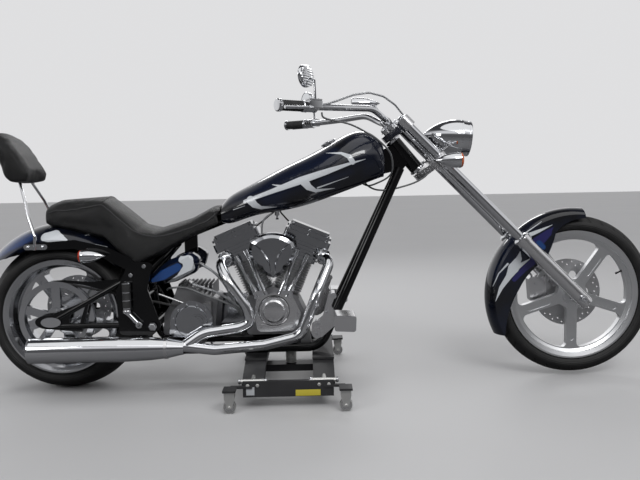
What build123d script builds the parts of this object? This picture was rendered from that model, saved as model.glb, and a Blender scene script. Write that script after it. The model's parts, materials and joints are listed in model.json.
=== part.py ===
"""A long-fork V-twin chopper motorcycle standing on a low wheeled scissor lift.

Millimetres. X points forward, Y to the rider's left, Z up. The origin is on the floor,
straight below the rear axle, in the machine's centre plane.
"""

from build123d import *

import os
from math import acos, atan2, cos, degrees, radians, sin, sqrt, tan

# Wheels and stance
WHEELBASE = 2216
REAR_TYRE_R = 326
FRONT_TYRE_R = 347
FRONT_LIFT = 15
REAR_Z = REAR_TYRE_R
FRONT_Z = FRONT_TYRE_R + FRONT_LIFT
AXLE_R = 10
AXLE_PLAY = 0.06

# Steering head and fork, angles from the vertical
RAKE = 40
FORK_ANGLE = 44.7
HEAD_MID = (1484, 0, 985)
HEAD_HALF = 88
HEAD_R = 30
STEM_R = 13
FORK_Y = 110
FORK_TUBE_R = 20.5
FORK_LENGTH = 1082
SLIDER_TOP = 366

# Frame
TUBE_R = 19
RAIL_Y = 105
RAIL_Z = 172
PIVOT = (410, 295)
PLATE_Y = 191
PLATE_T = 7
ARM_Y = 176
ARM_R = 12

# Engine: crank centre, V angle and the stations along each cylinder
CRANK = (900, 270)
V_HALF = 22.5
CASE_HALF = 84
DECK, BARREL_TOP, HEAD_TOP, ROCKER_TOP = 152, 300, 378, 446

# Belt drive on the right
BELT_Y, BELT_W, BELT_T = -142, 26, 4
PULLEY_R = 150
SPROCKET = (530, 300)
SPROCKET_R = 57

# Exhaust
PIPE_R = 22
SILENCER_Y = -252

# Side stand: a slanted bolt under the left rail
STAND_X = 600
STAND_DROP = 40
STAND_SLANT = 42.5
STAND_LENGTH = 165
STAND_BOLT_R = 6

# Lift
LIFT_X = (830, 1110)
LIFT_TOP = RAIL_Z - TUBE_R
CASTOR_X = (745, 1192)
CASTOR_Y = 425
CASTOR_R = 24

os.makedirs("parts", exist_ok=True)

STEER_UP = Vector(-sin(radians(RAKE)), 0, cos(radians(RAKE)))
STEER_FORWARD = Vector(cos(radians(RAKE)), 0, sin(radians(RAKE)))
FORK_UP = Vector(-sin(radians(FORK_ANGLE)), 0, cos(radians(FORK_ANGLE)))
HEAD = Vector(*HEAD_MID)
FRONT_AXLE = Vector(WHEELBASE, 0, FRONT_Z)
REAR_AXLE = Vector(0, 0, REAR_Z)
STAND_OUT = Vector(0, sin(radians(90 - STAND_SLANT)), -cos(radians(90 - STAND_SLANT)))
STAND_AXIS = Vector(0, cos(radians(90 - STAND_SLANT)), sin(radians(90 - STAND_SLANT)))
RAIL_MID = Vector(STAND_X, RAIL_Y, RAIL_Z)
STAND_PIVOT = RAIL_MID + STAND_OUT * STAND_DROP
SIDES = (-1, 1)


def save(builder, label):
    """Labels a finished piece and writes it as its own STEP file."""
    builder.part.label = label
    export_step(builder.part, f"parts/{label}.step")


def fork_point(distance, y):
    """A point on a fork leg's centre line, a distance up from the axle."""
    return FRONT_AXLE + FORK_UP * distance + Vector(0, y, 0)


def radial(centre):
    """The plane that holds a wheel's axle: local X along the axle, local Y up."""
    return Plane(centre, x_dir=(0, 1, 0), z_dir=(1, 0, 0))


def side_view(y):
    """A plane seen from the right side at a given Y: local X forward, local Y up."""
    return Plane((0, y, 0), x_dir=(1, 0, 0), z_dir=(0, -1, 0))


def cylinder_plane(lean, station):
    """The plane across a leaning engine cylinder, a station up from the crank."""
    angle = radians(V_HALF) * lean
    up = Vector(sin(angle), 0, cos(angle))
    forward = Vector(cos(angle), 0, -sin(angle))
    return Plane(Vector(CRANK[0], 0, CRANK[1]) + up * station, x_dir=forward, z_dir=up)


def polar(radius, degrees_round):
    """A point in the plane of a wheel's side view."""
    return (radius * cos(radians(degrees_round)), radius * sin(radians(degrees_round)))


def cylinder_point(lean, station):
    """A point on a leaning cylinder's centre line."""
    angle = radians(V_HALF) * lean
    return Vector(CRANK[0], 0, CRANK[1]) + Vector(sin(angle), 0, cos(angle)) * station


def rod(start, end, radius):
    """A round bar between two points."""
    start, end = Vector(start), Vector(end)
    run = end - start
    return Solid.make_cylinder(radius, run.length, Plane(start, z_dir=run))


def bend_radii(route):
    """The largest arc that each corner's two runs allow, up to a tube bender's limit."""
    points = [Vector(*point) for point in route]
    radii = []
    for before, corner, after in zip(points, points[1:], points[2:]):
        arriving, leaving = corner - before, after - corner
        turn = radians(arriving.get_angle(leaving))
        radii.append(min(0.45 * min(arriving.length, leaving.length) / tan(turn / 2), 140))
    return radii


def fork_distance(station):
    """How far up the fork legs a station along the steering axis meets them."""
    offset = FRONT_AXLE - HEAD
    return (station - offset.dot(STEER_UP)) / FORK_UP.dot(STEER_UP)


def fork_reach(station):
    """How far the fork legs stand in front of the steering axis at a station along it."""
    offset = FRONT_AXLE - HEAD
    return offset.dot(STEER_FORWARD) + FORK_UP.dot(STEER_FORWARD) * fork_distance(station)


def fender_hoop(axle, half, low_r, side_r, crown_r):
    """The solid ring that a fender's skin wraps: straight sides and an arched crown."""
    with BuildPart() as hoop:
        with BuildSketch(radial(axle)):
            with BuildLine():
                Line((-half, low_r), (-half, side_r))
                ThreePointArc((-half, side_r), (0, crown_r), (half, side_r))
                Polyline((half, side_r), (half, low_r), (-half, low_r))
            make_face()
        revolve(axis=Axis(axle, (0, 1, 0)))
    return hoop.part


# Tyres: radius, half width, rim lip radius, half rim width, shoulder radius and half width
TYRES = {
    "rear_tyre": (REAR_AXLE, REAR_TYRE_R, 122, 244, 112, 288, 108),
    "front_tyre": (FRONT_AXLE, FRONT_TYRE_R, 46, 283, 36, 326, 38),
}
CARCASS = 9

for label, (axle, crown_r, half, lip_r, half_rim, shoulder_r, shoulder) in TYRES.items():
    bulge_r = lip_r + 0.36 * (shoulder_r - lip_r)
    outer = (
        (half_rim - 16, lip_r - 15), (half_rim - 9, lip_r + 2), (half, bulge_r), (shoulder, shoulder_r), (0, crown_r)
    )
    inner = (
        (half_rim - 16 - CARCASS, lip_r - 15), (half_rim - 9 - CARCASS, lip_r + 4), (half - CARCASS, bulge_r),
        (shoulder - CARCASS, shoulder_r - CARCASS / 2), (0, crown_r - CARCASS),
    )
    with BuildPart() as tyre:
        with BuildSketch(radial(axle)):
            with BuildLine():
                for heel, lip, bulge, edge, top in (outer, inner):
                    for mirrored in SIDES:
                        ends = [(mirrored * x, r) for x, r in (heel, lip, bulge, edge)]
                        Line(ends[0], ends[1])
                        ThreePointArc(ends[1], ends[2], ends[3])
                    ThreePointArc((-edge[0], edge[1]), top, edge)
                for mirrored in SIDES:
                    Line((mirrored * outer[0][0], outer[0][1]), (mirrored * inner[0][0], inner[0][1]))
            make_face()
        revolve(axis=Axis(axle, (0, 1, 0)))
    save(tyre, label)

# Rims: lip radius, half width, hub radius, half hub length, spoke half width, disc half thickness
RIMS = {
    "rear_rim": (REAR_AXLE, 244, 112, 52, 124, 21, 30),
    "front_rim": (FRONT_AXLE, 283, 36, 46, 50, 23, 14),
}
SPOKES = 5
SPOKE_START = -90
WINDOW_FILLET = 20

for label, (axle, lip_r, half_rim, hub_r, half_hub, half_spoke, half_disc) in RIMS.items():
    well_r = lip_r - 31
    bed_r = lip_r - 37
    half_section = [
        (0, well_r),
        (0.42 * half_rim, well_r),
        (0.60 * half_rim, lip_r - 18),
        (half_rim - 14, lip_r - 16),
        (half_rim - 7, lip_r),
        (half_rim, lip_r),
        (half_rim, lip_r - 7),
        (half_rim - 6, lip_r - 23),
        (0.62 * half_rim, lip_r - 25),
        (0.44 * half_rim, bed_r),
        (0, bed_r),
    ]
    with BuildPart() as rim:
        with BuildSketch(radial(axle)):
            with BuildLine():
                Polyline(*half_section, close=True)
            make_face()
            mirror(about=Plane.YZ)
        revolve(axis=Axis(axle, (0, 1, 0)))
        # The spoked disc: a round plate with five rounded windows
        face = Plane(axle, x_dir=(1, 0, 0), z_dir=(0, -1, 0))
        with BuildSketch(face.offset(-half_disc)) as spoked:
            Circle(bed_r + 2)
            window_in, window_out = hub_r + 20, bed_r - 4
            pitch = 360 / SPOKES
            near_in = sqrt(window_in**2 - half_spoke**2)
            near_out = sqrt(window_out**2 - half_spoke**2)
            with BuildSketch(mode=Mode.PRIVATE) as window:
                with BuildLine():
                    low_in = Vector(near_in, half_spoke).rotate(Axis.Z, -pitch / 2)
                    low_out = Vector(near_out, half_spoke).rotate(Axis.Z, -pitch / 2)
                    top_in = Vector(low_in.X, -low_in.Y)
                    top_out = Vector(low_out.X, -low_out.Y)
                    Line(low_in, low_out)
                    ThreePointArc(low_out, (window_out, 0), top_out)
                    Line(top_out, top_in)
                    ThreePointArc(top_in, (window_in, 0), low_in)
                make_face()
                fillet(window.vertices(), WINDOW_FILLET)
            with PolarLocations(0, SPOKES, start_angle=SPOKE_START + pitch / 2):
                add(window.sketch, mode=Mode.SUBTRACT)
        extrude(amount=2 * half_disc)
        # A shallow pocket on each face of every spoke
        pocket_length = 0.62 * (window_out - window_in)
        for side in SIDES:
            with BuildSketch(face.offset(side * (half_disc - 3))):
                with PolarLocations((window_in + window_out) / 2, SPOKES, start_angle=SPOKE_START):
                    SlotOverall(pocket_length, 1.1 * half_spoke)
            extrude(amount=side * 5, mode=Mode.SUBTRACT)
        with BuildSketch(face.offset(-half_hub)):
            Circle(hub_r)
        extrude(amount=2 * half_hub)
        with BuildSketch(face.offset(-half_hub)):
            Circle(AXLE_R + AXLE_PLAY)
        extrude(amount=2 * half_hub, mode=Mode.SUBTRACT)
    save(rim, label)

# Brake discs, on the left of each wheel: outer radius, friction ring inner radius, carrier hole, Y
DISCS = {
    "front_disc": (FRONT_AXLE, 150, 112, 53, 6),
    "rear_disc": (REAR_AXLE, 146, 108, 127, 6),
}
DISC_HOLES = 20

for label, (axle, outer_r, ring_r, at_y, thick) in DISCS.items():
    with BuildPart() as disc:
        face = Plane(axle + Vector(0, at_y + thick / 2, 0), x_dir=(1, 0, 0), z_dir=(0, -1, 0))
        with BuildSketch(face):
            Circle(outer_r)
            with PolarLocations(0.5 * (ring_r + 40), SPOKES):
                SlotOverall(0.62 * (ring_r - 40), 34, rotation=0, mode=Mode.SUBTRACT)
            for ring, phase in ((0.34, 0), (0.68, 9)):
                with PolarLocations(ring_r + ring * (outer_r - ring_r), DISC_HOLES, start_angle=phase):
                    Circle(3.5, mode=Mode.SUBTRACT)
            Circle(AXLE_R + 4, mode=Mode.SUBTRACT)
        extrude(amount=thick)
    save(disc, label)

# Rear belt pulley with five openings, on the right of the wheel
with BuildPart() as rear_pulley:
    face = Plane(REAR_AXLE + Vector(0, BELT_Y - 16, 0), x_dir=(1, 0, 0), z_dir=(0, 1, 0))
    for start, width, radius in ((0, 2.5, PULLEY_R + 7), (2.5, BELT_W + 1, PULLEY_R), (29.5, 2.5, PULLEY_R + 7)):
        with BuildSketch(face.offset(start)):
            Circle(radius)
        extrude(amount=width)
    with BuildSketch(face):
        Circle(PULLEY_R - 16)
        Circle(46, mode=Mode.SUBTRACT)
    extrude(amount=32, mode=Mode.SUBTRACT)
    with BuildSketch(face.offset(4)):
        with PolarLocations(0.5 * PULLEY_R + 14, SPOKES, start_angle=54):
            Rectangle(PULLEY_R - 46, 34)
        Circle(46)
    extrude(amount=22)
    with BuildSketch(face.offset(26)):
        Circle(46)
    extrude(amount=8)
    with BuildSketch(face):
        Circle(AXLE_R + 4)
    extrude(amount=40, mode=Mode.SUBTRACT)
save(rear_pulley, "rear_pulley")

# Frame spine: steering head, backbone tube and neck gusset
SPINE_REAR = (470, 640)
SPINE_FRONT = (1440, 1008)
SPINE_R = 23
with BuildPart() as frame_spine:
    with BuildLine() as backbone:
        Polyline((SPINE_FRONT[0], 0, SPINE_FRONT[1]), (SPINE_REAR[0], 0, SPINE_REAR[1]))
    with BuildSketch(Plane(backbone.line @ 0, z_dir=backbone.line % 0)):
        Circle(SPINE_R)
    sweep(path=backbone.line)
    with BuildSketch(side_view(24)):
        with BuildLine():
            Polyline(
                (1250, 936), (1386, 1008), (1440, 1034), (1502, 962), (1472, 924), (1386, 905), (1300, 905), close=True
            )
        make_face()
    extrude(amount=48)
    with BuildSketch(side_view(8)):
        with BuildLine():
            Polyline((516, 652), (572, 676), (572, 574), (516, 556), close=True)
        make_face()
    extrude(amount=16)
    for radius, mode in ((HEAD_R, Mode.ADD), (STEM_R + AXLE_PLAY, Mode.SUBTRACT)):
        add(rod(HEAD - STEER_UP * HEAD_HALF, HEAD + STEER_UP * HEAD_HALF, radius), mode=mode)
save(frame_spine, "frame_spine")

# Frame cradle: twin down tubes, lower rails and rear uprights with their cross tubes
with BuildPart() as frame_cradle:
    for side in SIDES:
        with BuildLine() as loop:
            FilletPolyline(
                (1458, side * 30, 928),
                (1102, side * RAIL_Y, RAIL_Z),
                (372, side * RAIL_Y, RAIL_Z),
                (338, side * RAIL_Y, 470),
                (480, side * 34, 620),
                radius=(90, 70, 60),
            )
        with BuildSketch(Plane(loop.line @ 0, z_dir=loop.line % 0)):
            Circle(TUBE_R)
        sweep(path=loop.line)
    with BuildSketch(Plane(RAIL_MID - STAND_AXIS * 4, x_dir=(1, 0, 0), z_dir=STAND_AXIS)):
        with Locations((0, -STAND_DROP / 2)):
            SlotOverall(STAND_DROP + 34, 34, rotation=90)
        with Locations((0, -STAND_DROP)):
            Circle(STAND_BOLT_R + AXLE_PLAY, mode=Mode.SUBTRACT)
    extrude(amount=8)
    for x, z in ((560, RAIL_Z), (1040, RAIL_Z), (350, 400)):
        with BuildSketch(side_view(RAIL_Y)):
            with Locations((x, z)):
                Circle(14)
        extrude(amount=2 * RAIL_Y)
    add(frame_spine.part, mode=Mode.SUBTRACT)
    add(rod(HEAD - STEER_UP * HEAD_HALF, HEAD + STEER_UP * HEAD_HALF, HEAD_R), mode=Mode.SUBTRACT)
save(frame_cradle, "frame_cradle")

# Swingarm: a triangle of tubes each side, the pivot tube, axle plates and a belt guard
ARM_APEX = (298, 486)
with BuildPart() as swingarm:
    for side in SIDES:
        for route in (
            ((8, REAR_Z + 2), ARM_APEX),
            ((8, REAR_Z - 26), (PIVOT[0], PIVOT[1])),
            (ARM_APEX, (PIVOT[0], PIVOT[1])),
        ):
            with BuildLine() as tube:
                Polyline(*[(x, side * ARM_Y, z) for x, z in route])
            with BuildSketch(Plane(tube.line @ 0, z_dir=tube.line % 0)):
                Circle(ARM_R)
            sweep(path=tube.line)
        with BuildSketch(side_view(side * ARM_Y + 8)):
            with Locations((-22, REAR_Z - 8)):
                Ellipse(58, 30)
            with BuildLine():
                Polyline((-20, REAR_Z + 20), (150, REAR_Z + 84), (112, REAR_Z - 52), (-20, REAR_Z - 38), close=True)
            make_face()
            with BuildLine():
                Polyline((66, REAR_Z + 30), (128, REAR_Z + 54), (100, REAR_Z - 30), (60, REAR_Z - 18), close=True)
            make_face(mode=Mode.SUBTRACT)
            with Locations((0, REAR_Z)):
                Circle(AXLE_R, mode=Mode.SUBTRACT)
        extrude(amount=16)
        with BuildSketch(side_view(side * ARM_Y)):
            with Locations(ARM_APEX):
                Circle(ARM_R + 1)
        extrude(amount=ARM_R, both=True)
    with BuildSketch(side_view(-ARM_Y + 11)):
        with BuildLine():
            Polyline(
                (-10, 489), (40, 492), (150, 482), (250, 490), ARM_APEX, (262, 452), (199, 448), (120, 470), close=True
            )
        make_face()
    extrude(amount=6)
    reach = ARM_Y + ARM_R + 1
    for radius, mode in ((21, Mode.ADD), (12, Mode.SUBTRACT)):
        add(rod((PIVOT[0], -reach, PIVOT[1]), (PIVOT[0], reach, PIVOT[1]), radius), mode=mode)
    with BuildSketch(side_view(ARM_Y + 8)):
        with Locations((0, REAR_Z)):
            Circle(AXLE_R)
    extrude(amount=2 * (ARM_Y + 8), mode=Mode.SUBTRACT)
save(swingarm, "swingarm")

# Rear axle with its oval end covers
with BuildPart() as rear_axle:
    with BuildSketch(side_view(ARM_Y + 9)):
        with Locations((0, REAR_Z)):
            Circle(AXLE_R)
    extrude(amount=2 * (ARM_Y + 9))
    for side in SIDES:
        with BuildSketch(side_view(side * (ARM_Y + 8))):
            with Locations((-12, REAR_Z - 8)):
                Ellipse(41, 21)
        extrude(amount=-9 * side)
    add(swingarm.part, mode=Mode.SUBTRACT)
save(rear_axle, "rear_axle")

# Side plates outside the swingarm, on the pivot shaft and on lugs from the frame
PLATE_LUGS = ((345, 470), (366, 262))
with BuildPart() as side_plates:
    for side in SIDES:
        with BuildSketch(side_view(side * PLATE_Y)):
            with BuildLine():
                FilletPolyline(
                    (322, 566), (262, 440), (272, 262), (398, 250), (444, 290), (392, 452), (420, 560),
                    radius=18, close=True,
                )
            make_face()
        extrude(amount=-PLATE_T * side)
        for x, z in PLATE_LUGS:
            add(rod((x, side * RAIL_Y, z), (x, side * (PLATE_Y + 1), z), 13))
        cap = PLATE_Y + PLATE_T
        add(rod((PIVOT[0], side * cap, PIVOT[1]), (PIVOT[0], side * (cap + 8), PIVOT[1]), 19))
    add(rod((PIVOT[0], -PLATE_Y, PIVOT[1]), (PIVOT[0], PLATE_Y, PIVOT[1]), 12))
    add(frame_cradle.part, mode=Mode.SUBTRACT)
save(side_plates, "side_plates")

# Rear fender: a crowned shell around the tyre, with a round tail
FENDER_R = 395
FENDER_HALF = 140
SHEET = 3
rear_hoop = fender_hoop(REAR_AXLE, FENDER_HALF, 250, 330, FENDER_R)
rear_hoop_inside = fender_hoop(REAR_AXLE, FENDER_HALF - SHEET, 240, 328, FENDER_R - SHEET)

with BuildPart() as rear_fender:
    with BuildSketch(side_view(FENDER_HALF + 1)):
        with BuildLine():
            FilletPolyline(
                (-430, 505), (-300, 560), (-196, 583), (-150, 618), (-60, 634), (60, 636), (170, 600),
                (258, 535), (330, 560), (420, 640), (420, 800), (-430, 800), radius=12, close=True,
            )
        make_face()
    extrude(amount=2 * FENDER_HALF + 2)
    add(rear_hoop, mode=Mode.INTERSECT)
    add(rear_hoop_inside, mode=Mode.SUBTRACT)
save(rear_fender, "rear_fender")

with BuildPart() as tail_lamp:
    with BuildSketch(Plane((-276, 0, 586), x_dir=(0, 1, 0), z_dir=(-1, 0, 0.3))):
        Ellipse(46, 18)
    extrude(amount=60, taper=12)
    add(rear_hoop, mode=Mode.SUBTRACT)
save(tail_lamp, "tail_lamp")

# Fender struts that carry the fender and the sissy bar
STRUT_Y = FENDER_HALF
STRUT_T = 9
with BuildPart() as fender_struts:
    for side in SIDES:
        with BuildSketch(side_view(side * STRUT_Y)):
            with BuildLine():
                FilletPolyline(
                    (-122, 642), (84, 655), (213, 624), (300, 584), (362, 578), (362, 488), (338, 488),
                    (300, 524), (200, 578), (84, 618), (-122, 612), radius=8, close=True,
                )
            make_face()
        extrude(amount=-STRUT_T * side)
        add(rod((350, side * (RAIL_Y - 10), 500), (350, side * (STRUT_Y + 1), 500), 11))
    add(frame_cradle.part, mode=Mode.SUBTRACT)
save(fender_struts, "fender_struts")

# Sissy bar: two bent rods from the struts up into the backrest. Columns: X, Z, Y
SISSY = ((-76, 616, 156), (-72, 672, 156), (-108, 756, 128), (-126, 815, 104), (-162, 900, 62), (-186, 960, 62))
with BuildPart() as sissy_bar:
    for side in SIDES:
        with BuildLine() as bent_rod:
            FilletPolyline(*[(x, side * y, z) for x, z, y in SISSY], radius=30)
        with BuildSketch(Plane(bent_rod.line @ 0, z_dir=bent_rod.line % 0)):
            Circle(6.5)
        sweep(path=bent_rod.line)
        with BuildSketch(side_view(side * (STRUT_Y + STRUT_T))):
            with Locations((-72, 629)):
                SlotOverall(98, 23)
        extrude(amount=-9 * side)
save(sissy_bar, "sissy_bar")

# Backrest pad, leaning back, with sockets for the rods
with BuildPart() as backrest_pad:
    with BuildSketch(side_view(112)):
        with BuildLine():
            FilletPolyline(
                (-264, 1118), (-205, 1085), (-150, 1010), (-106, 934), (-114, 900), (-182, 896), (-208, 922),
                (-242, 1022), (-280, 1086), radius=10, close=True,
            )
        make_face()
    extrude(amount=224)
    with BuildSketch(Plane.YZ.offset(-300)):
        with BuildLine():
            Line((-112, 880), (112, 880))
            Line((112, 880), (112, 960))
            ThreePointArc((112, 960), (0, 1122), (-112, 960))
            Line((-112, 960), (-112, 880))
        make_face()
    extrude(amount=220, mode=Mode.INTERSECT)
    add(sissy_bar.part, mode=Mode.SUBTRACT)
save(backrest_pad, "backrest_pad")

# Seat: sections across the machine, from the tail to the nose
# Columns: X, low Z, high Z, half width at the bottom, half width at the top
SEAT = (
    (-58, 716, 792, 96, 84),
    (0, 712, 812, 118, 104),
    (200, 660, 824, 138, 116),
    (270, 590, 768, 150, 122),
    (345, 542, 702, 160, 132),
    (420, 580, 683, 158, 140),
    (560, 655, 724, 128, 112),
    (688, 704, 792, 96, 84),
)
PAN_HALF = 86
with BuildPart() as seat:
    for x, low, high, half_low, half_high in SEAT:
        with BuildSketch(Plane.YZ.offset(x)):
            with BuildLine():
                shoulder_z = high - 22
                ThreePointArc((-half_high, shoulder_z), (0, high), (half_high, shoulder_z))
                Polyline((half_high, shoulder_z), (half_low, low), (-half_low, low), (-half_high, shoulder_z))
            make_face()
    loft(ruled=True)
    # The pan underneath sits over the fender and the backbone
    with BuildSketch(side_view(PAN_HALF)):
        with BuildLine():
            Polyline((392, 500), (392, 640), (470, 672), (700, 760), (700, 500), close=True)
        make_face()
    extrude(amount=2 * PAN_HALF, mode=Mode.SUBTRACT)
    for neighbour in (rear_hoop, fender_struts.part):
        add(neighbour, mode=Mode.SUBTRACT)
save(seat, "seat")

# Fuel tank: sections from the seat to the neck. Columns: X, low Z, high Z, half width
TANK = (
    (690, 712, 790, 84),
    (774, 720, 851, 112),
    (942, 757, 936, 142),
    (1116, 800, 1018, 158),
    (1215, 835, 1072, 156),
    (1290, 862, 1092, 142),
    (1350, 884, 1072, 118),
    (1384, 893, 1034, 88),
)
TUNNEL_HALF = 27
with BuildPart() as fuel_tank:
    for x, low, high, half in TANK:
        with BuildSketch(Plane.YZ.offset(x)):
            with BuildLine():
                tall = high - low
                foot, side_z, shoulder_z = 0.62 * half, low + 0.34 * tall, low + 0.72 * tall
                Line((-foot, low), (foot, low))
                ThreePointArc((foot, low), (half, side_z), (0.86 * half, shoulder_z))
                ThreePointArc((0.86 * half, shoulder_z), (0, high), (-0.86 * half, shoulder_z))
                ThreePointArc((-0.86 * half, shoulder_z), (-half, side_z), (-foot, low))
            make_face()
    loft()
    with BuildSketch(side_view(TUNNEL_HALF)):
        with BuildLine():
            Polyline((600, 600), (600, 716), (1460, 1042), (1460, 600), close=True)
        make_face()
    extrude(amount=2 * TUNNEL_HALF, mode=Mode.SUBTRACT)
save(fuel_tank, "fuel_tank")

with BuildPart() as filler_cap:
    add(rod((1160, 0, 1026), (1144, 0, 1062), 30))
    add(rod((1146, 0, 1058), (1140, 0, 1070), 23))
    add(fuel_tank.part, mode=Mode.SUBTRACT)
save(filler_cap, "filler_cap")

# Oil tank under the seat: a centre block between the uprights and a teardrop end on each side
with BuildPart() as oil_tank:
    for side in SIDES:
        for depth, taper in ((-40, 0), (32, 30)):
            with BuildSketch(side_view(side * 128)):
                with BuildLine():
                    FilletPolyline(
                        (376, 486), (396, 452), (500, 470), (586, 508), (602, 566), (560, 596), (470, 560),
                        radius=(14, 14, 30, 26, 22, 22, 30), close=True,
                    )
                make_face()
            extrude(amount=-side * depth, taper=taper)
    with BuildSketch(side_view(128)):
        with BuildLine():
            Polyline((505, 500), (545, 500), (584, 540), (568, 574), (505, 558), close=True)
        make_face()
    extrude(amount=256)
    add(frame_spine.part, mode=Mode.SUBTRACT)
    add(frame_cradle.part, mode=Mode.SUBTRACT)
save(oil_tank, "oil_tank")

# Crankcase with the two cylinder decks
CASE_SIDE = side_view(CASE_HALF)
with BuildPart() as crankcase:
    with BuildSketch(CASE_SIDE):
        with Locations((CRANK[0], CRANK[1] + 48)):
            Circle(92)
        with BuildLine():
            FilletPolyline((786, 226), (1036, 226), (1046, 300), (1004, 392), (796, 392), radius=14, close=True)
        make_face()
        with BuildLine():
            Polyline((1018, 176), (1062, 176), (1052, 250), (1010, 250), close=True)
        make_face()
        for lean in SIDES:
            deck = cylinder_point(lean, DECK - 45)
            with Locations(Location((deck.X, deck.Z, 0), (0, 0, -lean * V_HALF))):
                Rectangle(122, 90)
    extrude(amount=2 * CASE_HALF)
    add(frame_cradle.part, mode=Mode.SUBTRACT)
save(crankcase, "crankcase")

# Cam cover on the right of the crankcase, with a ringed dome. Columns: radius, height
CAM = (906, 336)
CAM_FACE = -CASE_HALF - 40
CAM_DOME = ((64, 0), (64, 9), (60, 15), (55, 15), (53, 10), (50, 10), (49, 18), (42, 23))
with BuildPart() as cam_cover:
    with BuildSketch(side_view(-CASE_HALF)):
        with BuildLine():
            FilletPolyline(
                (836, 246), (996, 246), (1020, 322), (986, 396), (906, 412), (834, 392), (822, 310),
                radius=22, close=True,
            )
        make_face()
    extrude(amount=-CAM_FACE - CASE_HALF)
    with BuildSketch(side_view(CAM_FACE)):
        with BuildLine():
            FilletPolyline((842, 250), (990, 250), (998, 282), (906, 262), (838, 282), radius=8, close=True)
        make_face()
    extrude(amount=8)
    with BuildSketch(Plane((CAM[0], CAM_FACE, CAM[1]), x_dir=(1, 0, 0), z_dir=(0, 0, 1))):
        with BuildLine():
            Polyline((0, 0), *[(radius, -height) for radius, height in CAM_DOME])
            ThreePointArc((42, -23), (24, -26), (6, -27))
            Polyline((6, -27), (0, -27), (0, 0))
        make_face()
    revolve(axis=Axis((CAM[0], CAM_FACE, CAM[1]), (0, 1, 0)))
save(cam_cover, "cam_cover")

# Finned barrels
FIN_COUNT = 13
FIN_T = 2.4
with BuildPart() as cylinders:
    for lean in SIDES:
        with BuildSketch(cylinder_plane(lean, DECK)):
            Circle(56)
        extrude(amount=BARREL_TOP - DECK)
        for fin in range(FIN_COUNT):
            station = DECK + 14 + fin * (BARREL_TOP - DECK - 18) / (FIN_COUNT - 1)
            with BuildSketch(cylinder_plane(lean, station)):
                RectangleRounded(124, 136, 34)
            extrude(amount=FIN_T)
save(cylinders, "cylinders")

# Cylinder heads with their fins
with BuildPart() as cylinder_heads:
    for lean in SIDES:
        with BuildSketch(cylinder_plane(lean, BARREL_TOP)):
            RectangleRounded(140, 128, 20)
        extrude(amount=HEAD_TOP - BARREL_TOP)
        for fin, (long, wide) in enumerate(((156, 136), (176, 142), (192, 146), (200, 150), (204, 152))):
            with BuildSketch(cylinder_plane(lean, BARREL_TOP + 12 + fin * 15)):
                RectangleRounded(long, wide, 16)
            extrude(amount=5)
save(cylinder_heads, "cylinder_heads")

# Rocker covers: a deep box, a waist crossed by pillars, and a lid. Columns: low, high, length, width
ROCKER_TIERS = (
    (HEAD_TOP, HEAD_TOP + 32, 206, 150),
    (HEAD_TOP + 32, HEAD_TOP + 42, 184, 128),
    (HEAD_TOP + 42, HEAD_TOP + 52, 200, 144),
    (HEAD_TOP + 52, ROCKER_TOP, 172, 116),
)
with BuildPart() as rocker_covers:
    for lean in SIDES:
        for low, high, long, wide in ROCKER_TIERS:
            with BuildSketch(cylinder_plane(lean, low)):
                RectangleRounded(long, wide, 14)
            extrude(amount=high - low)
        with BuildSketch(cylinder_plane(lean, HEAD_TOP + 30)):
            with GridLocations(84, 132, 3, 2):
                Circle(6)
        extrude(amount=26)
save(rocker_covers, "rocker_covers")

# Pushrod tubes with their collars and lifter blocks on the right. Columns: foot X, foot Z, top X, top Z
PUSHRODS = ((838, 392, 746, 566), (868, 402, 788, 592), (962, 392, 1054, 566), (932, 402, 1012, 592))
with BuildPart() as pushrod_tubes:
    for foot_x, foot_z, top_x, top_z in PUSHRODS:
        foot, top = Vector(foot_x, -112, foot_z), Vector(top_x, -88, top_z)
        rise = (top - foot).normalized()
        add(rod(foot, top, 9))
        add(rod(foot, foot + rise * 52, 14))
        add(rod(foot + rise * 52, foot + rise * 58, 11))
        add(rod(top - rise * 26, top, 12))
    for x in (852, 958):
        with BuildSketch(side_view(-CASE_HALF - 4)):
            with Locations((x, 404)):
                RectangleRounded(56, 34, 6)
        extrude(amount=36)
    for neighbour in (crankcase, cam_cover, cylinders, cylinder_heads):
        add(neighbour.part, mode=Mode.SUBTRACT)
save(pushrod_tubes, "pushrod_tubes")

# Carburettor in the V, with its intake, and the shield-shaped air cleaner outside it
with BuildPart() as carburettor:
    add(rod((900, 20, 560), (900, -152, 560), 30))
    add(rod((800, 0, 560), (1000, 0, 560), 24))
    add(rod((900, -60, 520), (900, -60, 610), 24))
    for neighbour in (cylinders, cylinder_heads, rocker_covers):
        add(neighbour.part, mode=Mode.SUBTRACT)
save(carburettor, "carburettor")

# Air cleaner outlines as arcs through every second point, and how they shrink outwards. Columns: Y, share
CLEANER_MID = Vector(908, 600)
CHEEKS = ((822, 640), (908, 662), (994, 640), (1003, 586), (960, 524), (911, 484), (862, 524), (810, 586))
BEAK = ((814, 638), (908, 673), (1004, 638), (950, 590), (922, 500), (911, 484), (900, 500), (866, 590))
CLEANER_FORMS = (
    (CHEEKS, ((-152, 1), (-184, 0.97), (-198, 0.84))),
    (BEAK, ((-152, 1), (-192, 0.98), (-208, 0.88), (-214, 0.72))),
)
with BuildPart() as air_cleaner:
    for outline, layers in CLEANER_FORMS:
        for y, share in layers:
            with BuildSketch(side_view(y)):
                with BuildLine():
                    ring = [CLEANER_MID + (Vector(*point) - CLEANER_MID) * share for point in outline]
                    for start in range(0, len(ring), 2):
                        ThreePointArc(ring[start], ring[start + 1], ring[(start + 2) % len(ring)])
                make_face()
        loft(ruled=True)
save(air_cleaner, "air_cleaner")

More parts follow.
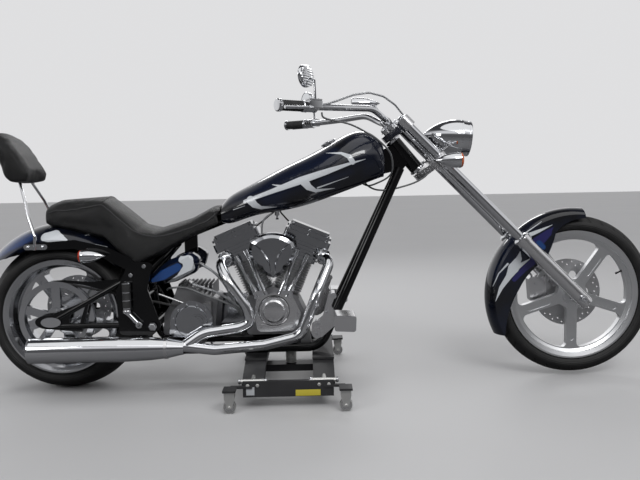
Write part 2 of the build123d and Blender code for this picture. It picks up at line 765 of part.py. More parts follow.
# Gearbox with the belt sprocket on its shaft
with BuildPart() as gearbox:
    with BuildSketch(side_view(84)):
        with BuildLine():
            FilletPolyline(
                (432, 238), (650, 229), (668, 392), (600, 416), (560, 446), (500, 446), (474, 380), (440, 330),
                radius=14, close=True,
            )
        make_face()
        with BuildLine():
            Polyline((530, 176), (592, 176), (600, 250), (520, 250), close=True)
        make_face()
    extrude(amount=84 + 112)
    with BuildSketch(side_view(BELT_Y + 16)):
        with Locations(SPROCKET):
            Circle(SPROCKET_R + 5)
    extrude(amount=2.5)
    with BuildSketch(side_view(BELT_Y + 30)):
        with Locations(SPROCKET):
            Circle(SPROCKET_R - 0.5)
    extrude(amount=46)
    with BuildSketch(side_view(-112)):
        with Locations((628, 316)):
            RectangleRounded(36, 130, 10)
    extrude(amount=48)
    # Ribs over the top and the nose
    for x in range(500, 650, 18):
        with BuildSketch(Plane.YZ.offset(x)):
            with Locations((-14, 402)):
                RectangleRounded(184, 104, 20)
        extrude(amount=5)
    add(frame_cradle.part, mode=Mode.SUBTRACT)
save(gearbox, "gearbox")

# Gearbox end cover with a ribbed oval release cover and its line
RELEASE = Location((574, 290, 0), (0, 0, 46))
with BuildPart() as gearbox_cover:
    with BuildSketch(side_view(-160)):
        with BuildLine():
            Polyline((476, 300), (470, 244), (642, 236), (652, 306))
            ThreePointArc((652, 306), (574, 392), (476, 300))
        make_face()
    extrude(amount=14)
    with BuildSketch(side_view(-174)):
        with Locations((564, 306)):
            Circle(68)
    extrude(amount=7, taper=30)
    for depth, long, wide in ((10, 110, 68), (14, 96, 54)):
        with BuildSketch(side_view(-174)):
            with Locations(RELEASE):
                SlotOverall(long, wide)
        extrude(amount=depth)
    with BuildSketch(side_view(-188)):
        with Locations(RELEASE):
            with GridLocations(0, 12, 1, 4):
                SlotOverall(72, 6)
    extrude(amount=4)
    add(rod((600, -180, 290), (648, -180, 292), 7))
save(gearbox_cover, "gearbox_cover")

# Toothed belt as one loop around both pulleys
with BuildPart() as drive_belt:
    with BuildSketch(side_view(BELT_Y + BELT_W / 2)):
        for grow, mode in ((BELT_T, Mode.ADD), (0, Mode.SUBTRACT)):
            rear_r, front_r = PULLEY_R + 0.3 + grow, SPROCKET_R + grow
            run = Vector(SPROCKET[0], SPROCKET[1] - REAR_Z)
            swing = degrees(acos((rear_r - front_r) / run.length))
            slope = degrees(atan2(run.Y, run.X))
            with BuildLine():
                high, low = slope + swing, slope - swing
                rear_top = Vector(0, REAR_Z) + Vector(*polar(rear_r, high))
                rear_low = Vector(0, REAR_Z) + Vector(*polar(rear_r, low))
                front_top = Vector(*SPROCKET) + Vector(*polar(front_r, high))
                front_low = Vector(*SPROCKET) + Vector(*polar(front_r, low))
                Line(rear_top, front_top)
                ThreePointArc(front_top, Vector(*SPROCKET) + Vector(*polar(front_r, slope)), front_low)
                Line(front_low, rear_low)
                ThreePointArc(rear_low, Vector(0, REAR_Z) - Vector(*polar(rear_r, slope)), rear_top)
            make_face(mode=mode)
    extrude(amount=BELT_W)
    add(gearbox.part, mode=Mode.SUBTRACT)
save(drive_belt, "drive_belt")

# Primary drive cover on the left
with BuildPart() as primary_cover:
    add(rod((CRANK[0], CASE_HALF, CRANK[1]), (CRANK[0], 130, CRANK[1]), 66))
    add(rod((560, CASE_HALF, 290), (560, 130, 290), 60))
    with BuildSketch(side_view(130)):
        clutch = Vector(560, 290)
        run = Vector(*CRANK) - clutch
        with Locations(Location((clutch + run / 2), (0, 0, degrees(atan2(run.Y, run.X))))):
            SlotCenterToCenter(run.length, 186)
    extrude(amount=-46)
    with BuildSketch(side_view(176)):
        with Locations((560, 290)):
            Circle(62)
    extrude(amount=-8)
save(primary_cover, "primary_cover")

# Exhaust: both pipes bend to the right and join. Columns: X, Y, Z
FRONT_PIPE = (
    (1092, -50, 566), (1150, -118, 548), (1090, -196, 420), (1050, -206, 318), (1018, -208, 244),
    (872, -216, 211), (666, -238, 201), (537, -252, 222),
)
REAR_PIPE = (
    (716, -50, 556), (682, -126, 545), (716, -192, 486), (800, -198, 364), (812, -200, 304),
    (772, -206, 284), (617, -228, 268), (552, -250, 226),
)
with BuildPart() as exhaust_pipes:
    for route in (FRONT_PIPE, REAR_PIPE):
        with BuildLine() as pipe:
            FilletPolyline(*route, radius=bend_radii(route))
        with BuildSketch(Plane(pipe.line @ 0, z_dir=pipe.line % 0)):
            Circle(PIPE_R)
        sweep(path=pipe.line)
    for neighbour in (cylinder_heads, cylinders):
        add(neighbour.part, mode=Mode.SUBTRACT)
save(exhaust_pipes, "exhaust_pipes")

# Silencer: an open tail, a long barrel and a tapered inlet. Columns: X, radius
SILENCER_Z = 215
SILENCER = ((-78, 51), (286, 52), (409, 47), (480, 40), (545, 26))
with BuildPart() as silencer:
    with BuildSketch(Plane((0, SILENCER_Y, SILENCER_Z), x_dir=(1, 0, 0), z_dir=(0, -1, 0))):
        with BuildLine():
            Polyline((-78, 0), *SILENCER, (545, 0), close=True)
        make_face()
    revolve(axis=Axis((0, SILENCER_Y, SILENCER_Z), (1, 0, 0)))
    add(rod((-79, SILENCER_Y, SILENCER_Z), (60, SILENCER_Y, SILENCER_Z), 47), mode=Mode.SUBTRACT)
    add(rod((300, -196, 240), (300, SILENCER_Y + 30, 240), 10))
    add(exhaust_pipes.part, mode=Mode.SUBTRACT)
    add(side_plates.part, mode=Mode.SUBTRACT)
save(silencer, "silencer")

# Forward foot controls: a stub on the down tube, a curved arm and a pad, on each side
CONTROL_Y = 232
with BuildPart() as foot_controls:
    for side in SIDES:
        add(rod((1168, side * 88, 318), (1168, side * (CONTROL_Y + 32), 318), 14))
        with BuildSketch(side_view(side * CONTROL_Y)):
            with BuildLine():
                FilletPolyline(
                    (1140, 436), (1168, 430), (1146, 372), (1186, 322), (1160, 292), (1104, 244),
                    (1062, 258), (1066, 302), (1112, 336),
                    radius=9, close=True,
                )
            make_face()
        extrude(amount=-10 * side)
        for x, z, radius, proud in ((1154, 424, 12, 66), (1086, 264, 21, 20), (1092, 306, 13, 26), (1128, 352, 9, 14)):
            add(rod((x, side * (CONTROL_Y - 14), z), (x, side * (CONTROL_Y + proud), z), radius))
    add(frame_cradle.part, mode=Mode.SUBTRACT)
save(foot_controls, "foot_controls")

with BuildPart() as front_pegs:
    for side in SIDES:
        with BuildSketch(side_view(side * (CONTROL_Y + 32))):
            with Locations(Location((1197, 328, 0), (0, 0, -3))):
                RectangleRounded(83, 62, 10)
        extrude(amount=-118 * side)
save(front_pegs, "front_pegs")

# Passenger pegs, folded up against the side plates
PASSENGER_Y = 216
with BuildPart() as passenger_pegs:
    for side in SIDES:
        add(rod((311, side * PASSENGER_Y, 356), (311, side * PASSENGER_Y, 480), 17))
        add(rod((311, side * PASSENGER_Y, 358), (358, side * PASSENGER_Y, 306), 9))
        add(rod((358, side * (PLATE_Y + PLATE_T), 306), (358, side * (PASSENGER_Y + 9), 306), 13))
save(passenger_pegs, "passenger_pegs")

# Rear turn signals on the struts
SIGNAL_Y = 188
with BuildPart() as rear_signals:
    for side in SIDES:
        with BuildSketch(side_view(side * SIGNAL_Y)):
            with BuildLine():
                Line((127, 590), (127, 616))
                ThreePointArc((127, 616), (176, 612), (222, 590))
                Line((222, 590), (127, 590))
            make_face()
        revolve(axis=Axis((0, side * SIGNAL_Y, 590), (1, 0, 0)))
        add(rod((165, side * (STRUT_Y + STRUT_T), 600), (165, side * SIGNAL_Y, 600), 6))
save(rear_signals, "rear_signals")

# Rear brake caliper on the left swingarm tube
with BuildPart() as rear_caliper:
    with BuildSketch(side_view(160)):
        with Locations(Location((88, 430, 0), (0, 0, -40))):
            RectangleRounded(120, 66, 12)
    extrude(amount=50)
    add(rod((96, 150, 404), (96, 176, 370), 12))
    with BuildSketch(side_view(127 + 8)):
        with Locations((0, REAR_Z)):
            Circle(152)
    extrude(amount=16, mode=Mode.SUBTRACT)
    add(swingarm.part, mode=Mode.SUBTRACT)
save(rear_caliper, "rear_caliper")

# Steering: yokes with the stem, set across the steering axis
YOKE_T = 30
YOKES = (-108, 106)
with BuildPart() as fork_yokes:
    for station in YOKES:
        reach = fork_reach(station)
        with BuildSketch(
            Plane(HEAD + STEER_UP * (station - YOKE_T / 2), x_dir=STEER_FORWARD, z_dir=STEER_UP)
        ):
            with BuildLine():
                FilletPolyline(
                    (-30, -24), (reach - 26, -FORK_Y - 12), (reach + 18, -FORK_Y - 12), (reach - 6, -40),
                    (reach - 6, 40), (reach + 18, FORK_Y + 12), (reach - 26, FORK_Y + 12), (-30, 24),
                    radius=10, close=True,
                )
            make_face()
        extrude(amount=YOKE_T)
        for side in SIDES:
            centre = fork_distance(station)
            add(rod(fork_point(centre - 24, side * FORK_Y), fork_point(centre + 24, side * FORK_Y), 31))
    add(rod(HEAD + STEER_UP * YOKES[0], HEAD + STEER_UP * (YOKES[1] + 26), STEM_R))
    for side in SIDES:
        tube = rod(fork_point(SLIDER_TOP, side * FORK_Y), fork_point(FORK_LENGTH, side * FORK_Y), FORK_TUBE_R)
        add(tube, mode=Mode.SUBTRACT)
save(fork_yokes, "fork_yokes")

with BuildPart() as fork_tubes:
    for side in SIDES:
        add(rod(fork_point(SLIDER_TOP, side * FORK_Y), fork_point(FORK_LENGTH, side * FORK_Y), FORK_TUBE_R))
save(fork_tubes, "fork_tubes")

front_spindle = rod((WHEELBASE, -146, FRONT_Z), (WHEELBASE, 146, FRONT_Z), AXLE_R)
with BuildPart() as fork_sliders:
    for side in SIDES:
        y = side * FORK_Y
        add(rod(fork_point(-34, y), fork_point(SLIDER_TOP, y), 31))
        add(rod(fork_point(SLIDER_TOP - 26, y), fork_point(SLIDER_TOP, y), 35))
    add(front_spindle, mode=Mode.SUBTRACT)
save(fork_sliders, "fork_sliders")

with BuildPart() as front_axle:
    add(front_spindle)
    for side in SIDES:
        add(rod((WHEELBASE, side * 56.6, FRONT_Z), (WHEELBASE, side * (FORK_Y - 31), FRONT_Z), 13))
        add(rod((WHEELBASE, side * (FORK_Y + 31), FRONT_Z), (WHEELBASE, side * (FORK_Y + 38), FRONT_Z), 17))
    add(fork_sliders.part, mode=Mode.SUBTRACT)
save(front_axle, "front_axle")

# Front fender: a shell hugging the back of the tyre, with a swelling side panel
FRONT_FENDER_R = 382
FRONT_FENDER_HALF = 64
front_hoop = fender_hoop(FRONT_AXLE, FRONT_FENDER_HALF, 190, 354, FRONT_FENDER_R)
front_hoop_inside = fender_hoop(FRONT_AXLE, FRONT_FENDER_HALF - SHEET, 180, 352, FRONT_FENDER_R - SHEET)
with BuildPart() as front_fender:
    with BuildSketch(side_view(FRONT_FENDER_HALF + 1)):
        with BuildLine():
            Polyline((2252, 700), (2252, 800), (1700, 800), (1700, 192), (1908, 192))
            ThreePointArc((1908, 192), (1925, 300), (1968, 398))
            ThreePointArc((1968, 398), (2016, 470), (2078, 520))
            ThreePointArc((2078, 520), (2104, 574), (2124, 640))
            ThreePointArc((2124, 640), (2180, 684), (2252, 700))
        make_face()
    extrude(amount=2 * FRONT_FENDER_HALF + 2)
    add(front_hoop, mode=Mode.INTERSECT)
    add(front_hoop_inside, mode=Mode.SUBTRACT)
    for side in SIDES:
        lug = fork_point(252, 0)
        add(rod(lug + Vector(0, side * (FRONT_FENDER_HALF - 1), 0), lug + Vector(0, side * (FORK_Y - 20), 0), 13))
    add(fork_sliders.part, mode=Mode.SUBTRACT)
save(front_fender, "front_fender")

with BuildPart() as front_caliper:
    with BuildSketch(side_view(88)):
        with BuildLine():
            FilletPolyline((2040, 432), (2116, 436), (2124, 322), (2050, 322), radius=12, close=True)
        make_face()
    extrude(amount=48)
    with BuildSketch(side_view(100)):
        with BuildLine():
            FilletPolyline((2050, 424), (2118, 350), (2180, 380), (2136, 444), radius=10, close=True)
        make_face()
    extrude(amount=12)
    with BuildSketch(side_view(62)):
        with Locations((WHEELBASE, FRONT_Z)):
            Circle(156)
    extrude(amount=18, mode=Mode.SUBTRACT)
    add(fork_sliders.part, mode=Mode.SUBTRACT)
save(front_caliper, "front_caliper")

# Headlight: a bullet shell on a post, and its glass
LAMP_FACE = (1758, 1050)
LAMP_NOSE = (1559, 1070)
LAMP_R = 74
lamp_axis = (Vector(LAMP_FACE[0], 0, LAMP_FACE[1]) - Vector(LAMP_NOSE[0], 0, LAMP_NOSE[1])).normalized()
lamp_plane = Plane((LAMP_FACE[0], 0, LAMP_FACE[1]), x_dir=lamp_axis, z_dir=(0, -1, 0))
with BuildPart() as headlight:
    with BuildSketch(lamp_plane):
        with BuildLine():
            Line((0, 0), (0, LAMP_R))
            Line((0, LAMP_R), (-34, LAMP_R + 5))
            ThreePointArc((-34, LAMP_R + 5), (-130, 58), (-200, 0))
            Line((-200, 0), (0, 0))
        make_face()
    revolve(axis=Axis(lamp_plane.origin, lamp_axis))
    with BuildSketch(Plane(lamp_plane.origin, z_dir=lamp_axis)):
        Circle(LAMP_R - 5)
    extrude(amount=-22, mode=Mode.SUBTRACT)
    add(rod((1612, 0, 946), (1672, 0, 1004), 13))
    add(fork_yokes.part, mode=Mode.SUBTRACT)
save(headlight, "headlight")

with BuildPart() as headlight_glass:
    with BuildSketch(lamp_plane):
        with BuildLine():
            Line((-10, 0), (-10, LAMP_R - 5))
            Line((-10, LAMP_R - 5), (-5, LAMP_R - 5))
            ThreePointArc((-5, LAMP_R - 5), (5, LAMP_R / 2), (8, 6))
            Polyline((8, 6), (8, 0), (-10, 0))
        make_face()
    revolve(axis=Axis(lamp_plane.origin, lamp_axis))
save(headlight_glass, "headlight_glass")

# Front turn signals on stems from the lower yoke
with BuildPart() as front_signals:
    for side in SIDES:
        y = side * 186
        with BuildSketch(side_view(y)):
            with BuildLine():
                Line((1684, 955), (1684, 986))
                ThreePointArc((1684, 986), (1630, 980), (1580, 955))
                Line((1580, 955), (1684, 955))
            make_face()
        revolve(axis=Axis((0, y, 955), (1, 0, 0)))
        add(rod((1622, side * 137, 958), (1622, y, 956), 8))
    add(fork_yokes.part, mode=Mode.SUBTRACT)
save(front_signals, "front_signals")

# Handlebar with its risers and the instrument pod. Columns: X, Y, Z
BAR = ((1405, 85, 1121), (1330, 165, 1170), (1200, 300, 1162), (1098, 385, 1158), (1052, 417, 1158))
BAR_R = 12.7
bar_route = [(x, -y, z) for x, y, z in reversed(BAR)] + list(BAR)
with BuildPart() as handlebar:
    with BuildLine() as bent_bar:
        FilletPolyline(*bar_route, radius=bend_radii(bar_route))
    with BuildSketch(Plane(bent_bar.line @ 0, z_dir=bent_bar.line % 0)):
        Circle(BAR_R)
    sweep(path=bent_bar.line)
    for side in SIDES:
        foot = HEAD + STEER_UP * (YOKES[1] + YOKE_T / 2) + STEER_FORWARD * 27 + Vector(0, side * 38, 0)
        add(rod(foot, foot + STEER_UP * 46, 17))
    with BuildSketch(side_view(0)):
        with BuildLine():
            Line((1256, 1208), (1256, 1232))
            ThreePointArc((1256, 1232), (1330, 1228), (1378, 1208))
            Line((1378, 1208), (1256, 1208))
        make_face()
    revolve(axis=Axis((0, 0, 1208), (1, 0, 0)))
    add(rod((1345, 0, 1206), (1400, 0, 1122), 9))
save(handlebar, "handlebar")

# Grips, hand controls and levers, and mirrors, built along each bar end
BAR_END = Vector(*BAR[-1])
GRIP_RUN = (BAR_END - Vector(*BAR[-2])).normalized()
GRIP_AHEAD = Vector(GRIP_RUN.Y, -GRIP_RUN.X, 0)


def on_bar(side, along, ahead=0.0, up=0.0):
    """A point near a bar end: along the grip, ahead of it and above it."""
    point = BAR_END + GRIP_RUN * along + GRIP_AHEAD * ahead + Vector(0, 0, up)
    return Vector(point.X, side * point.Y, point.Z)


with BuildPart() as grips:
    for side in SIDES:
        add(rod(on_bar(side, 0), on_bar(side, 104), 19))
        add(rod(on_bar(side, 104), on_bar(side, 116), 23))
save(grips, "grips")

with BuildPart() as hand_controls:
    for side in SIDES:
        add(rod(on_bar(side, -52), on_bar(side, 0), 21))
        add(rod(on_bar(side, -30, 0, 6), on_bar(side, -30, 42, 2), 14))
        add(rod(on_bar(side, -52, 30, 2), on_bar(side, 4, 35, 2), 14))
        add(rod(on_bar(side, -18, 40, -6), on_bar(side, 20, 58, -10), 6))
        add(rod(on_bar(side, 20, 58, -10), on_bar(side, 118, 54, -12), 6))
    add(handlebar.part, mode=Mode.SUBTRACT)
save(hand_controls, "hand_controls")

with BuildPart() as mirrors:
    for side in SIDES:
        head = on_bar(side, -20, 0, 112)
        root, knee = on_bar(side, -40, 20, 12), on_bar(side, -38, 18, 96)
        add(rod(root, knee, 5))
        add(rod(knee, head, 5))
        face = Plane(head, x_dir=(0.36, -side * 0.93, 0), z_dir=(-0.93, -side * 0.36, 0))
        with BuildSketch(face):
            Ellipse(60, 40)
        extrude(amount=14)
    add(hand_controls.part, mode=Mode.SUBTRACT)
save(mirrors, "mirrors")

# Side stand, folded back along the left rail, turning on a slanted bolt
with BuildPart() as side_stand:
    head = STAND_PIVOT + STAND_AXIS * 4.5
    add(rod(head, head + STAND_AXIS * 9, 15))
    add(rod(STAND_PIVOT - STAND_AXIS * 9, STAND_PIVOT + STAND_AXIS * 18, STAND_BOLT_R))
    middle = STAND_PIVOT + STAND_AXIS * 9
    add(rod(middle, middle + Vector(-STAND_LENGTH, 0, 0), 8))
    foot = middle + Vector(-STAND_LENGTH, 0, 0)
    add(rod(foot - STAND_OUT * 12, foot + STAND_OUT * 12, 11))
save(side_stand, "side_stand")

# Lift: a floor frame with castor brackets at its corners
BASE_Y = 392
BASE_Z = 48
LIFT_MID = sum(LIFT_X) / 2
LIFT_SPAN = LIFT_X[1] - LIFT_X[0]
with BuildPart() as lift_base:
    with BuildSketch(Plane.XY.offset(BASE_Z)):
        for x in LIFT_X:
            with Locations((x, 0)):
                Rectangle(50, 2 * BASE_Y)
        with Locations((LIFT_MID, 0)):
            Rectangle(LIFT_SPAN, 70)
    extrude(amount=30)
    with BuildSketch(Plane.XY.offset(BASE_Z)):
        for side in SIDES:
            with Locations((LIFT_MID, side * (BASE_Y - 6))):
                Rectangle(LIFT_SPAN + 74, 12)
    extrude(amount=62)
    with BuildSketch(Plane.XY.offset(84)):
        for side in SIDES:
            for x, inner in zip(CASTOR_X, LIFT_X):
                with Locations((x, side * 418)):
                    Rectangle(50, 64)
                with Locations(((x + inner) / 2, side * 388)):
                    Rectangle(abs(inner - x), 20)
    extrude(amount=8)
save(lift_base, "lift_base")

# Castors with their yokes, braked
with BuildPart() as lift_castors:
    for side in SIDES:
        for x in CASTOR_X:
            y = side * CASTOR_Y
            with BuildSketch(side_view(y + 16)):
                with BuildLine():
                    Polyline((x - 20, 84), (x + 20, 84), (x + 20, 60), (x + 10, 18), (x - 10, 18), (x - 20, 60), close=True)
                make_face()
            extrude(amount=32)
            with BuildSketch(side_view(y + 12)):
                with Locations((x, 30)):
                    Rectangle(60, 60)
            extrude(amount=24, mode=Mode.SUBTRACT)
            with BuildSketch(side_view(y + 12)):
                with Locations((x, CASTOR_R)):
                    Circle(CASTOR_R)
            extrude(amount=24)
save(lift_castors, "lift_castors")

# Slanting arms from the floor frame to the platform
ARM_HALF = 43
with BuildPart() as lift_arms:
    for side in SIDES:
        for x in LIFT_X:
            with BuildSketch(Plane.YZ.offset(x - ARM_HALF)):
                with BuildLine():
                    Polyline((side * 318, 78), (side * 366, 78), (side * 366, 96), (side * 200, 145), (side * 120, 145), close=True)
                make_face()
            extrude(amount=2 * ARM_HALF)
        for x in LIFT_X:
            pin = Vector(x, side * 372, 106)
            add(rod(pin - Vector(0, side * 60, 0), pin, 8))
            add(rod(pin - Vector(52, 0, 0), pin + Vector(52, 0, 0), 7))
        with BuildSketch(Plane.YZ.offset(LIFT_X[0] + ARM_HALF)):
            with Locations((side * 345, 90)):
                Rectangle(18, 18)
        extrude(amount=LIFT_SPAN - 2 * ARM_HALF)
save(lift_arms, "lift_arms")

# Platform under the frame rails, with the screw between it and the floor frame
with BuildPart() as lift_platform:
    with BuildSketch(Plane.XY.offset(145)):
        for x in LIFT_X:
            with Locations((x, 0)):
                Rectangle(90, 420)
        for y in SIDES:
            with Locations((LIFT_MID, y * 34)):
                Rectangle(LIFT_SPAN, 24)
        with Locations((LIFT_MID, 0)):
            Rectangle(80, 92)
    extrude(amount=LIFT_TOP - 145)
    with BuildSketch(Plane.XY.offset(BASE_Z + 30)):
        with Locations((LIFT_MID, 0)):
            Circle(22)
    extrude(amount=145 - BASE_Z - 30)
save(lift_platform, "lift_platform")

# Hoses: smooth runs of straight lines joined by arcs. Columns: X, Y, Z
OIL_LINES = (
    (
        (548, -108, 470), (572, -116, 452), (616, -134, 440), (668, -142, 424), (716, -136, 392),
        (748, -110, 356), (768, -78, 336), (784, -60, 330),
    ),
    (
        (596, -106, 540), (624, -118, 528), (666, -128, 500), (700, -128, 458), (722, -118, 410),
        (738, -94, 362), (756, -60, 322), (776, -36, 300), (792, -26, 288),
    ),
)
BRAKE_HOSE = (
    (1112, -412, 1162), (1142, -389, 1168), (1186, -350, 1186), (1246, -292, 1212), (1312, -220, 1228),
    (1378, -136, 1222), (1436, -50, 1196), (1484, 22, 1154), (1528, 62, 1102), (1588, 72, 1042),
    (1660, 72, 970), (1738, 71, 892), (1818, 71, 810), (1890, 71, 736), (1944, 71, 672), (1978, 71, 604),
    (2006, 71, 536), (2036, 69, 476), (2064, 67, 432),
)


def hose(route, radius):
    """A hose along a route whose corners are rounded as widely as its runs allow."""
    with BuildPart() as made:
        with BuildLine() as path:
            FilletPolyline(*route, radius=bend_radii(route))
        with BuildSketch(Plane(path.line @ 0, z_dir=path.line % 0)):
            Circle(radius)
        sweep(path=path.line)
    return made.part


with BuildPart() as oil_lines:
    for route in OIL_LINES:
        add(hose(route, 5.5))
    for neighbour in (oil_tank, crankcase):
        add(neighbour.part, mode=Mode.SUBTRACT)
save(oil_lines, "oil_lines")

with BuildPart() as brake_hose:
    add(hose(BRAKE_HOSE, 4))
    for neighbour in (front_caliper, hand_controls):
        add(neighbour.part, mode=Mode.SUBTRACT)
save(brake_hose, "brake_hose")
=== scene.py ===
"""Looks of a long-fork V-twin chopper on its workshop lift, in metres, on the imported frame."""
from __future__ import annotations

import json
import logging
import math
from collections.abc import Iterable, Sequence
from dataclasses import dataclass, field
from enum import Enum

import bmesh
import bpy
from mathutils import Matrix, Vector

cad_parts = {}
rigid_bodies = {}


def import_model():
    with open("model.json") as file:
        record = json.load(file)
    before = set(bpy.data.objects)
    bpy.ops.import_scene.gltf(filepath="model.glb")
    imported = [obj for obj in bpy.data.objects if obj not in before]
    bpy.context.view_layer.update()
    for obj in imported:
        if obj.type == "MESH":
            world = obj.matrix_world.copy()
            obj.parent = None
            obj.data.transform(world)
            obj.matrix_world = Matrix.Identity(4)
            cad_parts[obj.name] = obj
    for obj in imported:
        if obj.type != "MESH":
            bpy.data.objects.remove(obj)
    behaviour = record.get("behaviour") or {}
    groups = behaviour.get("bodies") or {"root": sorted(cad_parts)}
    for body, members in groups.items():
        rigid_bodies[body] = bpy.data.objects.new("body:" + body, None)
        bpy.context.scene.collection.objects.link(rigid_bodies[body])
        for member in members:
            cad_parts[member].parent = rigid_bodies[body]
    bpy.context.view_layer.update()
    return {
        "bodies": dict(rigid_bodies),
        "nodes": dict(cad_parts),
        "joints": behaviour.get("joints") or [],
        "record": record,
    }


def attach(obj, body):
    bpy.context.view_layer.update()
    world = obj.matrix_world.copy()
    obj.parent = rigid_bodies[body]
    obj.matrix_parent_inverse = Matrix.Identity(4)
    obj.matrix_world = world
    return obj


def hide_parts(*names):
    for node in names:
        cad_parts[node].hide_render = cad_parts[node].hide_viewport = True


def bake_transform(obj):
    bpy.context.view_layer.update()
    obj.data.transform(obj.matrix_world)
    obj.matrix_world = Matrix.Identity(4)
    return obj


log = logging.getLogger("chopper")

Triple = tuple[float, float, float]
Profile = Sequence[tuple[float, float]]
Rows = Sequence[tuple[Triple, Triple]]
Value = "float | Signal | Socket | Sequence[float]"
Form = bmesh.types.BMesh
Piece = bpy.types.Object
Material = bpy.types.Material
Socket = bpy.types.NodeSocket

MM = 0.001
SIDES = (-1, 1)
RIGHT = (0, -1, 0)
LEFT = (0, 1, 0)
AHEAD = (1, 0, 0)
ASTERN = (-1, 0, 0)
UPWARD = (0, 0, 1)
REAR_AXLE = (0.0, 0.0, 0.326)
FRONT_AXLE = (2.216, 0.0, 0.362)
HEAD_CENTRE = (1.484, 0.0, 0.985)
STEER_UP = (-0.64279, 0.0, 0.76604)
FORK_UP = (-0.70339, 0.0, 0.71080)
FORK_BACK = (-0.71080, 0.0, -0.70339)
FORK_LEG_Y = 0.110
BAR_CLAMP = (1.405, 0.038, 1.121)
CASTOR_X = (0.745, 1.192)


class Body(Enum):
    """The moving bodies that a new piece can ride on."""

    CHASSIS = "chassis"
    STEERING = "steering"
    FRONT_WHEEL = "front_wheel"
    REAR_WHEEL = "rear_wheel"


class Head(Enum):
    """The forms of bolt head: faces round, and a profile in shares of the radius."""

    HEX = (6, ((1.25, 0), (1.25, 0.16), (1, 0.17), (1, 0.72), (0.86, 0.82), (0, 0.84)))
    SOCKET = (16, ((1, 0), (1, 0.85), (0.88, 1), (0.5, 1), (0.5, 0.45), (0, 0.45)))
    ACORN = (12, ((1.3, 0), (1.3, 0.14), (1, 0.15), (1, 0.7), (0.8, 1.1), (0.4, 1.4), (0, 1.45)))

    def profile(self, radius: float) -> Profile:
        """Give the profile of a head of this radius."""
        return [(part * radius, rise * radius) for part, rise in self.value[1]]


class Signal:
    """A number that runs through a material's nodes and can be reckoned with."""

    def __init__(self, net: Net, socket: Socket) -> None:
        """Hold one output socket of a net."""
        self.net = net
        self.socket = socket

    def reckon(self, operation: str, *others: Value) -> Signal:
        """Give the result of a Math node that takes this number and then the others."""
        made = self.net.node("ShaderNodeMath", dict(enumerate((self, *others))), operation=operation)
        return Signal(self.net, made.outputs[0])

    def __add__(self, other: Value) -> Signal:
        """Return self + other."""
        return self.reckon("ADD", other)

    def __sub__(self, other: Value) -> Signal:
        """Return self - other."""
        return self.reckon("SUBTRACT", other)

    def __mul__(self, other: Value) -> Signal:
        """Return self * other."""
        return self.reckon("MULTIPLY", other)

    def __truediv__(self, other: Value) -> Signal:
        """Return self / other."""
        return self.reckon("DIVIDE", other)

    def __rsub__(self, other: float) -> Signal:
        """Return other - self."""
        return self * -1.0 + other

    def clamped(self) -> Signal:
        """Hold the number between 0 and 1."""
        return self.reckon("MINIMUM", 1.0).reckon("MAXIMUM", 0.0)

    def edge(self, at: float, soft: float) -> Signal:
        """Rise from 0 to 1 around a value, over the given width."""
        return ((self - at) / soft + 0.5).clamped()


